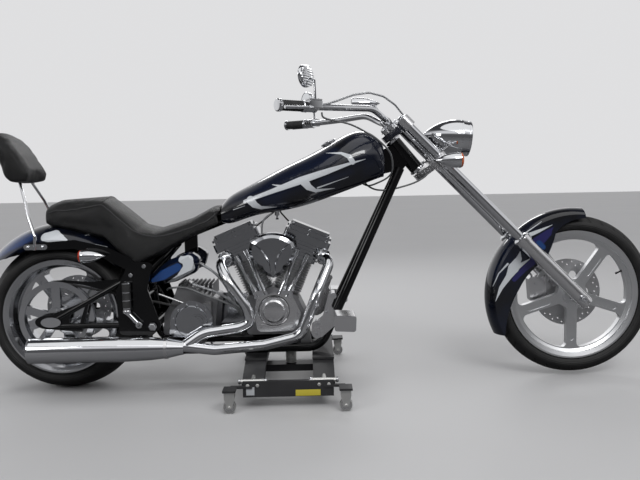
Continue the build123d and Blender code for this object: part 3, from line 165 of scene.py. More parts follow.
class Net:
    """The node tree of a material or of the world."""

    def __init__(self, holder: Material | bpy.types.World) -> None:
        """Start the holder's tree empty."""
        holder.use_nodes = True
        self.tree = holder.node_tree
        self.tree.nodes.clear()

    def node(self, kind: str, inputs: dict | None = None, **settings: str) -> bpy.types.Node:
        """Make any node.

        Args:
            kind: the node's type.
            inputs: values, signals or sockets by socket name or number.
            settings: its attributes, set before the sockets.

        Returns:
            The node.
        """
        made = self.tree.nodes.new(kind)
        for key, value in settings.items():
            setattr(made, key, value)
        for key, value in (inputs or {}).items():
            socket = made.inputs[key]
            if isinstance(value, Signal):
                self.tree.links.new(value.socket, socket)
            elif isinstance(value, Socket):
                self.tree.links.new(value, socket)
            elif isinstance(value, (int, float)):
                socket.default_value = value
            else:
                socket.default_value = (*value, 1.0) if len(socket.default_value) > len(value) else value
        return made

    def close(self, shader: str, inputs: dict, output: str) -> None:
        """End the tree with a shader that has these inputs and the given kind of output."""
        self.node(output, {0: self.node(shader, inputs).outputs[0]})

    def place(self) -> Socket:
        """Give the point on the piece, in metres in the machine's frame."""
        return self.node("ShaderNodeTexCoord").outputs["Object"]

    def parts(self, place: Socket | None = None) -> tuple[Signal, Signal, Signal]:
        """Give x, y and z of the point on the piece, or of another place."""
        split = self.node("ShaderNodeSeparateXYZ", {0: place or self.place()})
        return tuple(Signal(self, socket) for socket in split.outputs)

    def noise(self, scale: float, detail: float = 3.0, stretch: Triple = (1.0, 1.0, 1.0)) -> Signal:
        """Give noise between 0 and 1 at a scale per metre, stretched along the axes."""
        spot = self.node("ShaderNodeMapping", {"Vector": self.place(), "Scale": stretch})
        made = self.node("ShaderNodeTexNoise", {"Vector": spot.outputs[0], "Scale": scale, "Detail": detail})
        return Signal(self, made.outputs["Fac"])

    def cells(self, scale: float) -> Signal:
        """Give the distance to the nearest cell edge at a scale per metre."""
        inputs = {"Vector": self.place(), "Scale": scale}
        made = self.node("ShaderNodeTexVoronoi", inputs, feature="DISTANCE_TO_EDGE")
        return Signal(self, made.outputs["Distance"])

    def mix(self, factor: Value, low: Value, high: Value) -> Socket:
        """Blend two colours by a factor."""
        return self.node("ShaderNodeMix", {0: factor, 6: low, 7: high}, data_type="RGBA").outputs[2]

    def ramp(self, source: Value, stops: Sequence[tuple[float, Triple]]) -> Socket:
        """Turn a number from -1 to 1 into a colour, with a number and a colour for each stop."""
        spread = self.node("ShaderNodeMapRange", {"From Min": -1.0, "Value": source})
        made = self.node("ShaderNodeValToRGB", {0: spread.outputs[0]})
        marks = made.color_ramp.elements
        while len(marks) < len(stops):
            marks.new(0.5)
        for mark, (position, colour) in zip(marks, stops):
            mark.position = (position + 1.0) / 2.0
            mark.color = (*colour, 1.0)
        return made.outputs[0]

    def bump(self, height: Signal, depth: float) -> Socket:
        """Turn a height into a normal; depth is in metres."""
        return self.node("ShaderNodeBump", {"Strength": 1.0, "Distance": depth, "Height": height}).outputs[0]

    def vector(self, operation: str, *values: Value) -> bpy.types.NodeSocketCollection:
        """Give the outputs of a Vector Math node; a number among the values is its scale."""
        inputs = {"Scale" if isinstance(value, Signal) else at: value for at, value in enumerate(values)}
        return self.node("ShaderNodeVectorMath", inputs, operation=operation).outputs

    def painted(self, stroke: Sequence[Triple], soft: float) -> Signal:
        """Mask a tapered brush stroke seen from the side.

        Args:
            stroke: x, z and half width of each point, in millimetres.
            soft: width of its edge in millimetres.

        Returns:
            1 inside the stroke and 0 outside.
        """
        flat = self.vector("MULTIPLY", self.place(), (1 / MM, 0.0, 1 / MM))[0]
        nearest = None
        for (x0, z0, half0), (x1, z1, half1) in zip(stroke, stroke[1:]):
            run = Vector((x1 - x0, 0.0, z1 - z0))
            step = self.vector("SUBTRACT", flat, (x0, 0.0, z0))[0]
            along = Signal(self, self.vector("DOT_PRODUCT", step, tuple(run))["Value"])
            along = (along / run.length_squared).clamped()
            foot = self.vector("SCALE", tuple(run), along)[0]
            gap = Signal(self, self.vector("LENGTH", self.vector("SUBTRACT", step, foot)[0])["Value"])
            gap = gap - (along * (half1 - half0) + half0)
            nearest = gap if nearest is None else nearest.reckon("MINIMUM", gap)
        return (0.5 - nearest / soft).clamped()


@dataclass(frozen=True)
class Finish:
    """A finish by name, with the name of one of the record's material slots."""

    name: str
    slot: str = field(default="chrome", kw_only=True)

    def material(self) -> Material:
        """Make the material."""
        made = bpy.data.materials.new(self.name)
        net = Net(made)
        net.close("ShaderNodeBsdfPrincipled", self.inputs(net), "ShaderNodeOutputMaterial")
        return made

    def inputs(self, net: Net) -> dict:
        """Give the shader's inputs by name, with the nodes that they need."""
        raise NotImplementedError


@dataclass(frozen=True)
class Metal(Finish):
    """Bare or plated metal: polish, haze, fine scratches, casting grain or level flutes.

    The grain is a bump of the given depth in metres at a scale per metre, and the wave is the slow
    unevenness of a plated casting, also in metres.
    """

    colour: Triple
    roughness: float
    haze: float = 0.04
    grain: float = 0.0
    grain_scale: float = 900.0
    brushed: Triple = (1.0, 1.0, 1.0)
    dirt: float = 0.0
    flutes: float = 0.0
    wave: float = 0.0

    def inputs(self, net: Net) -> dict:
        """Cloud the colour and the polish, and add the grain."""
        cloud = net.noise(9.0, 4.0)
        fine = net.noise(self.grain_scale, 3.0, self.brushed)
        deep = tuple(part * 0.72 for part in self.colour)
        shade = (cloud * 0.35 + fine * (0.25 + self.dirt)).clamped()
        inputs = {
            "Base Color": net.mix(shade * 0.6, self.colour, deep),
            "Metallic": 1.0,
            "Roughness": (cloud * self.haze + fine * self.haze + self.roughness).clamped(),
        }
        if self.flutes:
            inputs["Normal"] = net.bump((net.parts()[2] * self.flutes).reckon("SINE"), 0.001)
        elif self.wave:
            inputs["Normal"] = net.bump(net.noise(16.0, 0.0) + fine * (self.grain / self.wave), self.wave)
        elif self.grain:
            inputs["Normal"] = net.bump(fine, self.grain)
        return inputs


@dataclass(frozen=True)
class Stripe:
    """Painted strokes on the side of a panel: points of x, z and half width in millimetres.

    Paint nearer to the middle plane than beyond, in metres, stays plain.
    """

    colour: Triple
    strokes: tuple[tuple[Triple, ...], ...]
    soft: float = 1.6
    beyond: float = 0.0


@dataclass(frozen=True)
class Paint(Finish):
    """Gloss paint under clear coat, with a ground, a second tone and stripes."""

    ground: Triple
    tone: Triple
    stripes: tuple[Stripe, ...] = ()
    roughness: float = 0.16
    coat: float = 1.0

    def inputs(self, net: Net) -> dict:
        """Lay the ground, its cloud, the stripes and the coat."""
        cloud = net.noise(6.0, 2.0)
        flake = net.noise(5200.0, 1.0)
        colour = net.mix(cloud.edge(0.52, 0.3), self.ground, self.tone)
        for stripe in self.stripes:
            mask = None
            for stroke in stripe.strokes:
                one = net.painted(stroke, stripe.soft)
                mask = one if mask is None else mask.reckon("MAXIMUM", one)
            if stripe.beyond:
                mask = mask * net.parts()[1].reckon("ABSOLUTE").edge(stripe.beyond, 0.004)
            light = tuple(min(1.0, part * 1.12) for part in stripe.colour)
            colour = net.mix(mask, colour, net.mix(flake, stripe.colour, light))
        return {
            "Base Color": colour,
            "Roughness": cloud * 0.05 + self.roughness,
            "Coat Weight": self.coat,
            "Coat Roughness": 0.03,
            "Specular IOR Level": 0.25,
            "Normal": net.bump(net.noise(160.0, 1.0), 0.00008),
        }


@dataclass(frozen=True)
class Rubber(Finish):
    """Moulded rubber with a fine skin and dusty wear."""

    colour: Triple = (0.018, 0.018, 0.019)
    roughness: float = 0.62

    def inputs(self, net: Net) -> dict:
        """Dust the colour and the sheen, and add the skin."""
        dust = net.noise(24.0, 5.0)
        worn = tuple(part + 0.022 for part in self.colour)
        return {
            "Base Color": net.mix(dust.edge(0.6, 0.4), self.colour, worn),
            "Roughness": (dust * 0.16 + self.roughness - 0.06).clamped(),
            "Normal": net.bump(net.noise(1400.0, 2.0), 0.0002),
        }


@dataclass(frozen=True)
class Braid(Finish):
    """Woven steel braid over a hose, with crossing strands of a given count per metre."""

    strands: float

    def inputs(self, net: Net) -> dict:
        """Cross two waves into a weave."""
        x, y, z = net.parts()
        over = ((x + z) * self.strands).reckon("SINE")
        under = ((x - z + y * 1.4) * self.strands).reckon("SINE")
        weave = (over * under) * 0.5 + 0.5
        # The colour follows the weave's height: darker in the hollows between the strands, as painted shade.
        return {
            "Base Color": net.mix(weave, (0.26, 0.27, 0.28), (0.62, 0.63, 0.65)),
            "Metallic": 0.85,
            "Roughness": (net.noise(50.0) * 0.15 + 0.28).clamped(),
            "Normal": net.bump(weave, 0.0006),
        }


@dataclass(frozen=True)
class TyreRubber(Finish):
    """Tyre rubber with a cut tread and ribbed walls, wound about its own axle.

    The radius and the half width are in metres; the pitch counts the grooves round, and the sweep is how many
    pitches they slant in a metre of width.
    """

    axle: Triple
    radius: float
    half: float
    pitch: int
    sweep: float

    def inputs(self, net: Net) -> dict:
        """Cut slanted grooves over the crown and rings on the walls."""
        x, y, z = net.parts()
        across = y.reckon("ABSOLUTE")
        ahead, rise = x - self.axle[0], z - self.axle[2]
        turn = rise.reckon("ARCTAN2", ahead) * (self.pitch / math.tau)
        reach = (ahead * ahead + rise * rise).reckon("SQRT")
        phase = (turn + across * self.sweep).reckon("FRACT")
        slit = 1.0 - (phase - 0.5).reckon("ABSOLUTE").edge(0.11, 0.05)
        band = across.edge(self.half * 0.14, 0.002) * (1.0 - across.edge(self.half * 0.84, 0.004))
        crown = reach.edge(self.radius * 0.905, 0.004)
        line = 1.0 - (across - self.half * 0.1).reckon("ABSOLUTE").edge(0.0018, 0.001)
        groove = ((slit * band).reckon("MAXIMUM", line) * crown).clamped()
        rib = (reach * 900.0).reckon("SINE") * 0.5 + 0.5
        wall = (1.0 - crown) * rib * 0.25
        dust = net.noise(30.0, 5.0)
        ground = net.mix(dust.edge(0.55, 0.5), (0.008, 0.008, 0.0085), (0.019, 0.0185, 0.018))
        # The cut grooves take a colour darker than the clean rubber: painted shade in the cuts of the tread.
        return {
            "Base Color": net.mix(groove, ground, (0.004, 0.004, 0.004)),
            "Roughness": (dust * 0.2 + 0.52).clamped(),
            "Normal": net.bump(1.0 - groove + wall + net.noise(1300.0, 2.0) * 0.06, 0.0035),
        }


@dataclass(frozen=True)
class Leather(Finish):
    """Grained upholstery leather with creases and a worn sheen."""

    colour: Triple

    def inputs(self, net: Net) -> dict:
        """Add the pebbled grain and the creases."""
        pebble = net.cells(520.0)
        fold = net.noise(38.0, 4.0)
        worn = tuple(part * 1.9 for part in self.colour)
        return {
            "Base Color": net.mix(fold.edge(0.62, 0.4), self.colour, worn),
            "Roughness": (fold * 0.2 + 0.3 - pebble * 0.1).clamped(),
            "Specular IOR Level": 0.42,
            "Normal": net.bump(pebble.edge(0.09, 0.16) + fold * 1.6, 0.00045),
        }


@dataclass(frozen=True)
class Lens(Finish):
    """Clear or tinted lamp glass with moulded flutes, so many radians in a metre."""

    colour: Triple
    clear: float
    flutes: float

    def inputs(self, net: Net) -> dict:
        """Tint the glass and add its flutes."""
        flute = (net.parts()[1] * self.flutes).reckon("SINE") * 0.5 + 0.5
        haze = net.noise(60.0, 2.0)
        deep = tuple(part * 0.75 for part in self.colour)
        return {
            "Base Color": net.mix(haze, self.colour, deep),
            "Roughness": haze * 0.05 + 0.05,
            "Transmission Weight": self.clear,
            "IOR": 1.45,
            "Normal": net.bump(flute + haze * 0.2, 0.0006),
        }


@dataclass(frozen=True)
class Dial(Finish):
    """A pale instrument face with a ring of plain ticks and a needle, about its own axis."""

    centre: Triple
    radius: float

    def inputs(self, net: Net) -> dict:
        """Draw the ticks and the needle."""
        side, rise = (part - middle for part, middle in zip(net.parts()[1:], self.centre[1:]))
        reach = (side * side + rise * rise).reckon("SQRT") / self.radius
        turn = (rise.reckon("ARCTAN2", side) * (24.0 / math.tau)).reckon("FRACT")
        tick = (1.0 - (turn - 0.5).reckon("ABSOLUTE").edge(0.1, 0.06)) * reach.edge(0.72, 0.03)
        tick = tick * (1.0 - reach.edge(0.9, 0.03))
        needle = 1.0 - (side * 0.8 + rise * 0.6).reckon("ABSOLUTE").edge(0.0012, 0.0006)
        needle = needle * (1.0 - reach.edge(0.7, 0.03))
        return {
            "Base Color": net.mix((tick + needle).clamped(), (0.75, 0.75, 0.73), (0.03, 0.03, 0.03)),
            "Roughness": net.noise(40.0) * 0.05 + 0.3,
        }


@dataclass(frozen=True)
class Ground(Finish):
    """A faintly clouded floor, pale to the camera and of a dark shade in what the machine mirrors."""

    colour: Triple
    shade: Triple

    def inputs(self, net: Net) -> dict:
        """Cloud the colour and swap it for the shade in reflections."""
        cloud = net.noise(0.8, 3.0)
        seen = net.node("ShaderNodeLightPath").outputs["Is Camera Ray"]
        pale = net.mix(cloud, self.colour, tuple(part * 0.96 for part in self.colour))
        return {"Base Color": net.mix(seen, self.shade, pale), "Roughness": cloud * 0.1 + 0.5}


CHROME = Metal("Mirror chrome", (0.8, 0.81, 0.83), 0.03, haze=0.03)
# Mirror chrome with its base colour lowered: a painted dark reflection of the room on the rocker covers, air
# cleaner, heads and covers.
PAINTED_REFLECTION_CHROME = Metal("Chrome darkened for painted reflection", (0.5, 0.51, 0.53), 0.05, wave=0.0012)
POLISHED = Metal("Polished alloy", (0.88, 0.88, 0.89), 0.14, haze=0.08, grain=0.00004, brushed=(1.0, 1.0, 6.0),
                 wave=0.0008, slot="polished_alloy")
WHEEL_ALLOY = Metal("Machined wheel alloy", (0.9, 0.91, 0.92), 0.24, haze=0.08, grain=0.00005, grain_scale=700.0)
# A darker copy of the wheel alloy: painted shade of the rear fender over the rear rim and the pulley.
SHADED_ALLOY = Metal("Shaded wheel alloy", (0.66, 0.67, 0.69), 0.06, haze=0.06, grain=0.00005, grain_scale=700.0)
CAST = Metal("Cast alloy", (0.34, 0.34, 0.35), 0.3, haze=0.12, grain=0.0004, grain_scale=420.0, dirt=0.35)
FIN_ALLOY = Metal("Fin alloy", (0.56, 0.56, 0.57), 0.24, haze=0.12, grain=0.00016, grain_scale=600.0, dirt=0.25)
STEEL = Metal("Bright steel", (0.66, 0.66, 0.67), 0.26, haze=0.12, grain=0.0001, grain_scale=1200.0, dirt=0.2,
              slot="bright_steel")
ZINC = Metal("Zinc plate", (0.84, 0.84, 0.82), 0.33, haze=0.14, grain=0.0001, dirt=0.3, slot="bright_steel")
FLUTED = Metal("Fluted chrome", (0.8, 0.81, 0.83), 0.06, haze=0.03, flutes=700.0)
MIRROR = Metal("Mirror glass", (0.86, 0.88, 0.9), 0.01, haze=0.005)
BLACK = Paint("Gloss black", (0.0025, 0.0025, 0.003), (0.005, 0.005, 0.0055), roughness=0.08, coat=0.25)
LIFT_PAINT = Paint("Lift enamel", (0.03, 0.03, 0.032), (0.045, 0.045, 0.047), roughness=0.42, coat=0.15)
SATIN = Paint("Satin black", (0.012, 0.012, 0.012), (0.02, 0.02, 0.021), roughness=0.45, coat=0.1,
              slot="black_rubber")
GREY_NYLON = Paint("Grey nylon", (0.24, 0.24, 0.24), (0.3, 0.3, 0.3), roughness=0.5, coat=0.0,
                   slot="bright_steel")
PALE_LABEL = Paint("Blank label", (0.62, 0.52, 0.06), (0.66, 0.56, 0.08), roughness=0.5, coat=0.0,
                   slot="lift_paint")
GREY_LABEL = Paint("Blank plate", (0.5, 0.52, 0.55), (0.56, 0.58, 0.6), roughness=0.45, coat=0.0,
                   slot="lift_paint")
SOOT = Rubber("Soot and gasket", (0.006, 0.006, 0.006), 0.85, slot="gloss_black")
SHEATH = Rubber("Grey cable sheath", (0.17, 0.175, 0.18), 0.42, slot="black_rubber")
RUBBER = Rubber("Moulded rubber", slot="black_rubber")
HOSE = Rubber("Hose sheath", (0.02, 0.02, 0.02), 0.5, slot="black_rubber")
THREAD = Rubber("Piping cord", (0.03, 0.03, 0.032), 0.5, slot="leather")
LEATHER = Leather("Grained leather", (0.005, 0.005, 0.0053), slot="leather")
BRAID = Braid("Steel braid", 2600.0)
CLEAR = Lens("Lamp glass", (0.95, 0.97, 1.0), 0.95, 420.0)
AMBER = Lens("Amber lens", (0.85, 0.16, 0.02), 0.25, 700.0, slot="red_lens")
RED = Lens("Red lens", (0.5, 0.015, 0.012), 0.2, 700.0)
RED_AMBER = Lens("Rear signal lens", (0.75, 0.055, 0.015), 0.25, 700.0, slot="red_lens")
DIAL = Dial("Instrument face", (1.2562, 0.0, 1.208), 0.0212)
FLOOR = Ground("Pale floor", (0.6, 0.6, 0.605), (0.12, 0.12, 0.125))
REAR_TREAD = TyreRubber("Rear tread", REAR_AXLE, 0.326, 0.123, 30, 9.0)
FRONT_TREAD = TyreRubber("Front tread", FRONT_AXLE, 0.347, 0.048, 36, 16.0)

SILVER = (0.66, 0.69, 0.72)
BASE = (0.003, 0.0035, 0.006)
NAVY = (0.004, 0.008, 0.024)
BLUE = (0.016, 0.062, 0.22)
DEEP_BLUE = (0.01, 0.036, 0.135)
VIOLET = (0.022, 0.02, 0.11)
TANK_PAINT = Paint("Tank paint", BASE, NAVY, (
    Stripe(NAVY, (
        ((700, 792, 8), (860, 868, 26), (1040, 950, 40), (1160, 985, 34)),
        ((1130, 880, 16), (1240, 915, 6)),
    ), 30.0),
    Stripe(SILVER, (
        ((794, 800, 7), (905, 839, 9), (1029, 883, 15), (1132, 916, 12), (1224, 946, 6), (1301, 967, 0.5)),
        ((820, 805, 18), (835, 787, 14), (863, 773, 7), (929, 775, 0.5)),
        ((1047, 877, 18), (1062, 857, 14), (1092, 840, 7), (1172, 849, 0.5)),
        ((1100, 852, 3), (1229, 895, 0.5)),
        ((1246, 956, 11), (1233, 978, 10), (1200, 993, 5), (1138, 996, 0.5)),
        ((911, 869, 0.8), (957, 859, 6.6)),
        ((744, 766, 1.5), (794, 782, 0.8)),
    )),
))
REAR_FENDER_PAINT = Paint("Rear fender paint", BASE, NAVY, (
    Stripe(DEEP_BLUE, (((-250, 590, 10), (-196, 630, 20), (-140, 660, 24), (-96, 668, 12)),), 14.0),
    Stripe(SILVER, (
        ((-44, 668, 16), (-5, 668, 26), (21, 660, 18), (47, 652, 8)),
        ((-44, 637, 2.1), (10, 647, 3.2), (89, 644, 2.4), (167, 631, 1.6), (209, 620, 0.5)),
        ((117, 670, 0.5), (154, 674, 3.1), (190, 675, 0.8)),
    )),
))
OIL_TANK_PAINT = Paint("Oil tank paint", BASE, NAVY, (
    Stripe(BLUE, (((396, 472, 6), (449, 502, 20), (512, 534, 16)),), 5.0, 0.132),
    Stripe(SILVER, (
        ((529, 565, 13), (555, 559, 23), (559, 533, 23), (516, 493, 10), (445, 456, 0.5)),
        ((430, 531, 1.3), (473, 571, 2.1), (510, 587, 2.1), (525, 575, 1.0)),
    ), beyond=0.132),
))
FRONT_FENDER_PAINT = Paint("Front fender paint", BASE, NAVY, (
    Stripe(VIOLET, (
        ((1945, 440, 10), (1988, 485, 13), (2025, 515, 15)),
        ((2046, 600, 24), (2090, 638, 15), (2111, 662, 1)),
    ), 5.0),
    Stripe(BLUE, (((2051, 594, 13), (2068, 578, 11)),), 8.0),
    Stripe(SILVER, (
        ((1864, 345, 0.4), (1888, 405, 8.7), (1921, 452, 13), (1942, 490, 24), (1964, 529, 13), (1970, 561, 0.9)),
        ((1962, 496, 10.9), (2012, 528, 0.9)),
        ((1855, 410, 0.7), (1877, 466, 2.0), (1916, 508, 4.4)),
        ((2002, 629, 9.6), (2050, 648, 6.6), (2109, 674, 0.4)),
        ((1994, 642, 1.7), (2063, 688, 0.7)),
    )),
))


def placed(name: str, data: bpy.types.ID, spot: Matrix | None = None) -> Piece:
    """Put data into the scene as an object, at a spot or at the machine's origin."""
    made = bpy.data.objects.new(name, data)
    if spot is not None:
        made.matrix_world = spot
    bpy.context.scene.collection.objects.link(made)
    return made


def mesh_piece(name: str, form: Form, finish: Material) -> Piece:
    """Turn a form, which is freed here, into an object with one finish, smooth below 35 degrees."""
    bmesh.ops.recalc_face_normals(form, faces=form.faces[:])
    data = bpy.data.meshes.new(name)
    form.to_mesh(data)
    form.free()
    data.materials.append(finish)
    piece = placed(name, data)
    data.shade_smooth()
    data.set_sharp_from_angle(angle=math.radians(35))
    return piece


def facing(spot: Triple, outward: Triple, across: Triple = UPWARD) -> Matrix:
    """Make the matrix that stands a form built along +Z at a spot, along a direction."""
    up = Vector(outward).normalized()
    side = Vector(across).cross(up)
    if side.length < 1e-4:
        side = Vector(AHEAD).cross(up)
    side.normalize()
    turned = Matrix((side, up.cross(side), up)).transposed().to_4x4()
    return Matrix.Translation(Vector(spot)) @ turned


def twins(spots: Sequence[Triple], outward: Triple = LEFT) -> list[tuple[Triple, Triple]]:
    """Give spots on the left side, and what they face, on both sides of the machine."""
    ahead, aside, rise = outward
    return [((x, side * y, z), (ahead, side * aside, rise)) for side in SIDES for x, y, z in spots]


def ring(centre: Triple, radius: float, count: int, outward: Triple, start: float, step: float) -> list:
    """Space places round a centre in the side view, with the angles in degrees."""
    places = []
    for number in range(count):
        turn = math.radians(start + step * number)
        spot = (centre[0] + radius * math.cos(turn), centre[1], centre[2] + radius * math.sin(turn))
        places.append((spot, outward))
    return places


def fork_point(distance: float) -> Triple:
    """Give a point on the left fork leg, a distance up from the axle."""
    return tuple(Vector(FRONT_AXLE) + Vector(FORK_UP) * distance + Vector(LEFT) * FORK_LEG_Y)


def skin(form: Form, rings: Sequence[Sequence[Vector]]) -> None:
    """Join rings of points with faces and close both ends."""
    made = [[form.verts.new(spot) for spot in points] for points in rings]
    for low, high in zip(made, made[1:]):
        for here in range(len(low)):
            form.faces.new((low[here - 1], low[here], high[here], high[here - 1]))
    form.faces.new(made[0])
    form.faces.new(made[-1])


def add_lathe(form: Form, profile: Profile, spot: Matrix, steps: int) -> None:
    """Turn a profile about +Z and add it, closed, to a form at a spot.

    A profile that starts and ends off the axis becomes a ring, and one open end off the axis gets a flat face.

    Args:
        form: the form that grows.
        profile: radius and height in millimetres, from the foot to the top.
        spot: where it stands.
        steps: faces round.
    """
    turns = [math.tau * step / steps for step in range(steps)]
    rings = []
    for radius, height in profile:
        points = [(radius * math.cos(turn), radius * math.sin(turn), height) for turn in turns]
        kept = points if radius else points[:1]
        rings.append([form.verts.new(spot @ (Vector(point) * MM)) for point in kept])
    bands = list(zip(rings, rings[1:]))
    if len(rings[0]) > 1 and len(rings[-1]) > 1:
        bands.append((rings[-1], rings[0]))
    elif len(rings[0]) > 1:
        form.faces.new(rings[0])
    elif len(rings[-1]) > 1:
        form.faces.new(rings[-1])
    for low, high in bands:
        for step in range(steps):
            after = (step + 1) % steps
            corners = ((low, step), (low, after), (high, after), (high, step))
            unique = list(dict.fromkeys(row[at % len(row)] for row, at in corners))
            if len(unique) > 2:
                form.faces.new(unique)


def smooth_path(points: Sequence[Triple], steps: int = 8) -> list[Vector]:
    """Run a smooth line through points, with the given steps between two of them."""
    spots = [Vector(point) for point in points]
    padded = [spots[0] * 2 - spots[1], *spots, spots[-1] * 2 - spots[-2]]
    line = []
    for before, start, end, after in zip(padded, padded[1:], padded[2:], padded[3:]):
        slope = end - before
        bend = 2 * before - 5 * start + 4 * end - after
        twist = 3 * start - before - 3 * end + after
        for t in (step / steps for step in range(steps)):
            line.append(0.5 * (2 * start + slope * t + bend * t * t + twist * t ** 3))
    line.append(spots[-1])
    return line


def add_tube(form: Form, line: Sequence[Vector], radius: float, sides: int = 12) -> None:
    """Sweep a round section along a line, with the given faces round, and add it to a form."""
    turns = [math.tau * step / sides for step in range(sides)]
    side = (line[1] - line[0]).normalized().orthogonal().normalized()
    rings = []
    for number, spot in enumerate(line):
        ahead = line[min(number + 1, len(line) - 1)] - line[max(number - 1, 0)]
        ahead.normalize()
        side = (side - ahead * side.dot(ahead)).normalized()
        other = ahead.cross(side)
        rings.append([spot + (side * math.cos(turn) + other * math.sin(turn)) * radius for turn in turns])
    skin(form, rings)


def rounded_block(form: Form, size: Triple, spot: Matrix, bevel: float) -> None:
    """Add a block with rounded edges, centred on a spot."""
    made = bmesh.ops.create_cube(form, size=1.0, matrix=spot @ Matrix.Diagonal((*size, 1.0)))
    edges = {edge for vert in made["verts"] for edge in vert.link_edges}
    bmesh.ops.bevel(form, geom=list(edges), offset=bevel, segments=3, profile=0.6, affect="EDGES")


def settle(piece: Piece, body: Body) -> Piece:
    """Ride a piece on its body."""
    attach(piece, body.value)
    log.info("%s rides on %s", piece.name, body.value)
    return piece


@dataclass
class Paintshop:
    """Mixes each finish once and hands it out."""

    mixed: dict[Finish, Material] = field(default_factory=dict)

    def coat(self, finish: Finish) -> Material:
        """Give the material of a finish."""
        if finish not in self.mixed:
            self.mixed[finish] = finish.material()
        return self.mixed[finish]


@dataclass
class Bench:
    """What every sub-assembly of small parts shares: its finishes, its body and how it sets a piece down."""

    shop: Paintshop
    body: Body = Body.CHASSIS

    def build(self) -> None:
        """Make the pieces."""
        raise NotImplementedError

    def piece(self, name: str, form: Form, finish: Finish, slot: str | None = None) -> Piece:
        """Turn a form into a piece that rides on the body in hand.

        Args:
            name: the piece's name.
            form: its mesh.
            finish: its finish.
            slot: the record's material slot, where it isn't the finish's own; not used.

        Returns:
            The piece.
        """
        return settle(mesh_piece(name, form, self.shop.coat(finish)), self.body)

    def lathes(self, name: str, rows: Rows, profile: Profile, finish: Finish, steps: int = 28,
               slot: str | None = None) -> Piece:
        """Turn the same profile at several places and join them into a piece.

        Args:
            name: the piece's name.
            rows: foot and direction of each.
            profile: radius and height in millimetres, from the foot to the top.
            finish: its finish.
            steps: faces round.
            slot: the record's material slot, where it isn't the finish's own.

        Returns:
            The piece.
        """
        form = bmesh.new()
        for spot, outward in rows:
            add_lathe(form, profile, facing(spot, outward), steps)
        return self.piece(name, form, finish, slot)

    def tubes(self, name: str, routes: Iterable[Sequence[Triple]], radius: float, finish: Finish) -> None:
        """Run smooth tubes of one radius along routes and join them into a piece."""
        form = bmesh.new()
        for route in routes:
            add_tube(form, smooth_path(route) if len(route) > 2 else [Vector(spot) for spot in route], radius)
        self.piece(name, form, finish)

    def blocks(self, name: str, spots: Iterable[Matrix], size: Triple, bevel: float, finish: Finish,
               slot: str | None = None) -> None:
        """Set the same rounded block at several spots and join them into a piece.

        Args:
            name: the piece's name.
            spots: where the blocks are centred.
            size: their edges.
            bevel: how far their edges are rounded.
            finish: their finish.
            slot: the record's material slot, where it isn't the finish's own.
        """
        form = bmesh.new()
        for spot in spots:
            rounded_block(form, size, spot, bevel)
        self.piece(name, form, finish, slot)


@dataclass
class Studio:
    """The plain room around the machine: pale floor, soft lamps and the camera, with its angles in degrees."""

    horizon: Triple = (0.74, 0.74, 0.75)
    room: Triple = (0.09, 0.09, 0.094)
    strip: Triple = (0.75, 0.75, 0.77)
    zenith: Triple = (0.05, 0.05, 0.055)
    eye: Triple = (1.0757, -2.9929, 0.8895)
    yaw: float = -0.614
    pitch: float = 5.112
    roll: float = -1.060
    lens: float = 38.54

    def build(self) -> None:
        """Set up floor, world, lamps and camera."""
        form = bmesh.new()
        low = Matrix.Translation((0.0, 0.0, -0.0005))
        bmesh.ops.create_grid(form, x_segments=1, y_segments=1, size=30.0, matrix=low)
        mesh_piece("studio_floor", form, FLOOR.material())
        self.world()
        self.lamps()
        self.camera()
        bpy.context.scene.view_settings.view_transform = "Standard"

    def world(self) -> None:
        """Light the room: a pale wall behind the machine, a dimmer room in front, a dark ceiling."""
        world = bpy.data.worlds.new("Soft room")
        bpy.context.scene.world = world
        net = Net(world)
        _, y, z = net.parts(net.node("ShaderNodeTexCoord").outputs["Generated"])
        front = net.ramp(z, [(0.3, self.room), (0.46, self.strip), (0.6, self.strip), (0.76, self.zenith)])
        wall = net.ramp(z, [(0.36, self.horizon), (0.8, self.zenith)])
        behind = net.ramp(y, [(-0.5, (0.0,) * 3), (0.35, (1.0,) * 3)])
        net.close("ShaderNodeBackground", {"Color": net.mix(behind, front, wall)}, "ShaderNodeOutputWorld")

    def lamps(self) -> None:
        """Hang three soft lamps, over the camera, beside it and behind, and a weak, wide one over all."""
        for name, spot, aim, power, wide, tall in (
            ("key", (2.6, -3.2, 3.4), (1.1, 0.0, 0.5), 52.0, 1.8, 1.0),
            ("fill", (-1.8, -2.8, 2.2), (0.9, 0.0, 0.5), 24.0, 1.4, 1.2),
            ("rim", (1.0, 3.4, 3.0), (1.1, 0.0, 0.5), 36.0, 3.0, 0.6),
        ):
            lamp = bpy.data.lights.new(name, "AREA")
            lamp.shape = "RECTANGLE"
            lamp.size = wide
            lamp.size_y = tall
            lamp.energy = power
            placed(name, lamp, facing(spot, tuple(Vector(spot) - Vector(aim))))
        lamp = bpy.data.lights.new("daylight", "SUN")
        lamp.energy = 0.9
        lamp.angle = math.radians(70)
        placed("daylight", lamp, facing((0.0, 0.0, 4.0), (0.15, -0.35, 1.0)))

    def camera(self) -> None:
        """Stand the camera where the photograph was taken from."""
        yaw, pitch, roll = (math.radians(angle) for angle in (self.yaw, self.pitch, self.roll))
        right = Vector((math.cos(yaw), math.sin(yaw), 0.0))
        level = Vector((-math.sin(yaw), math.cos(yaw), 0.0))
        up = Vector(UPWARD)
        ahead = level * math.cos(pitch) - up * math.sin(pitch)
        above = up * math.cos(pitch) + level * math.sin(pitch)
        across = right * math.cos(roll) + above * math.sin(roll)
        above = above * math.cos(roll) - right * math.sin(roll)
        data = bpy.data.cameras.new("camera")
        data.lens = self.lens
        data.sensor_width = 36.0
        data.clip_start = 0.05
        turned = Matrix((across, above, -ahead)).transposed().to_4x4()
        bpy.context.scene.camera = placed("camera", data, Matrix.Translation(Vector(self.eye)) @ turned)


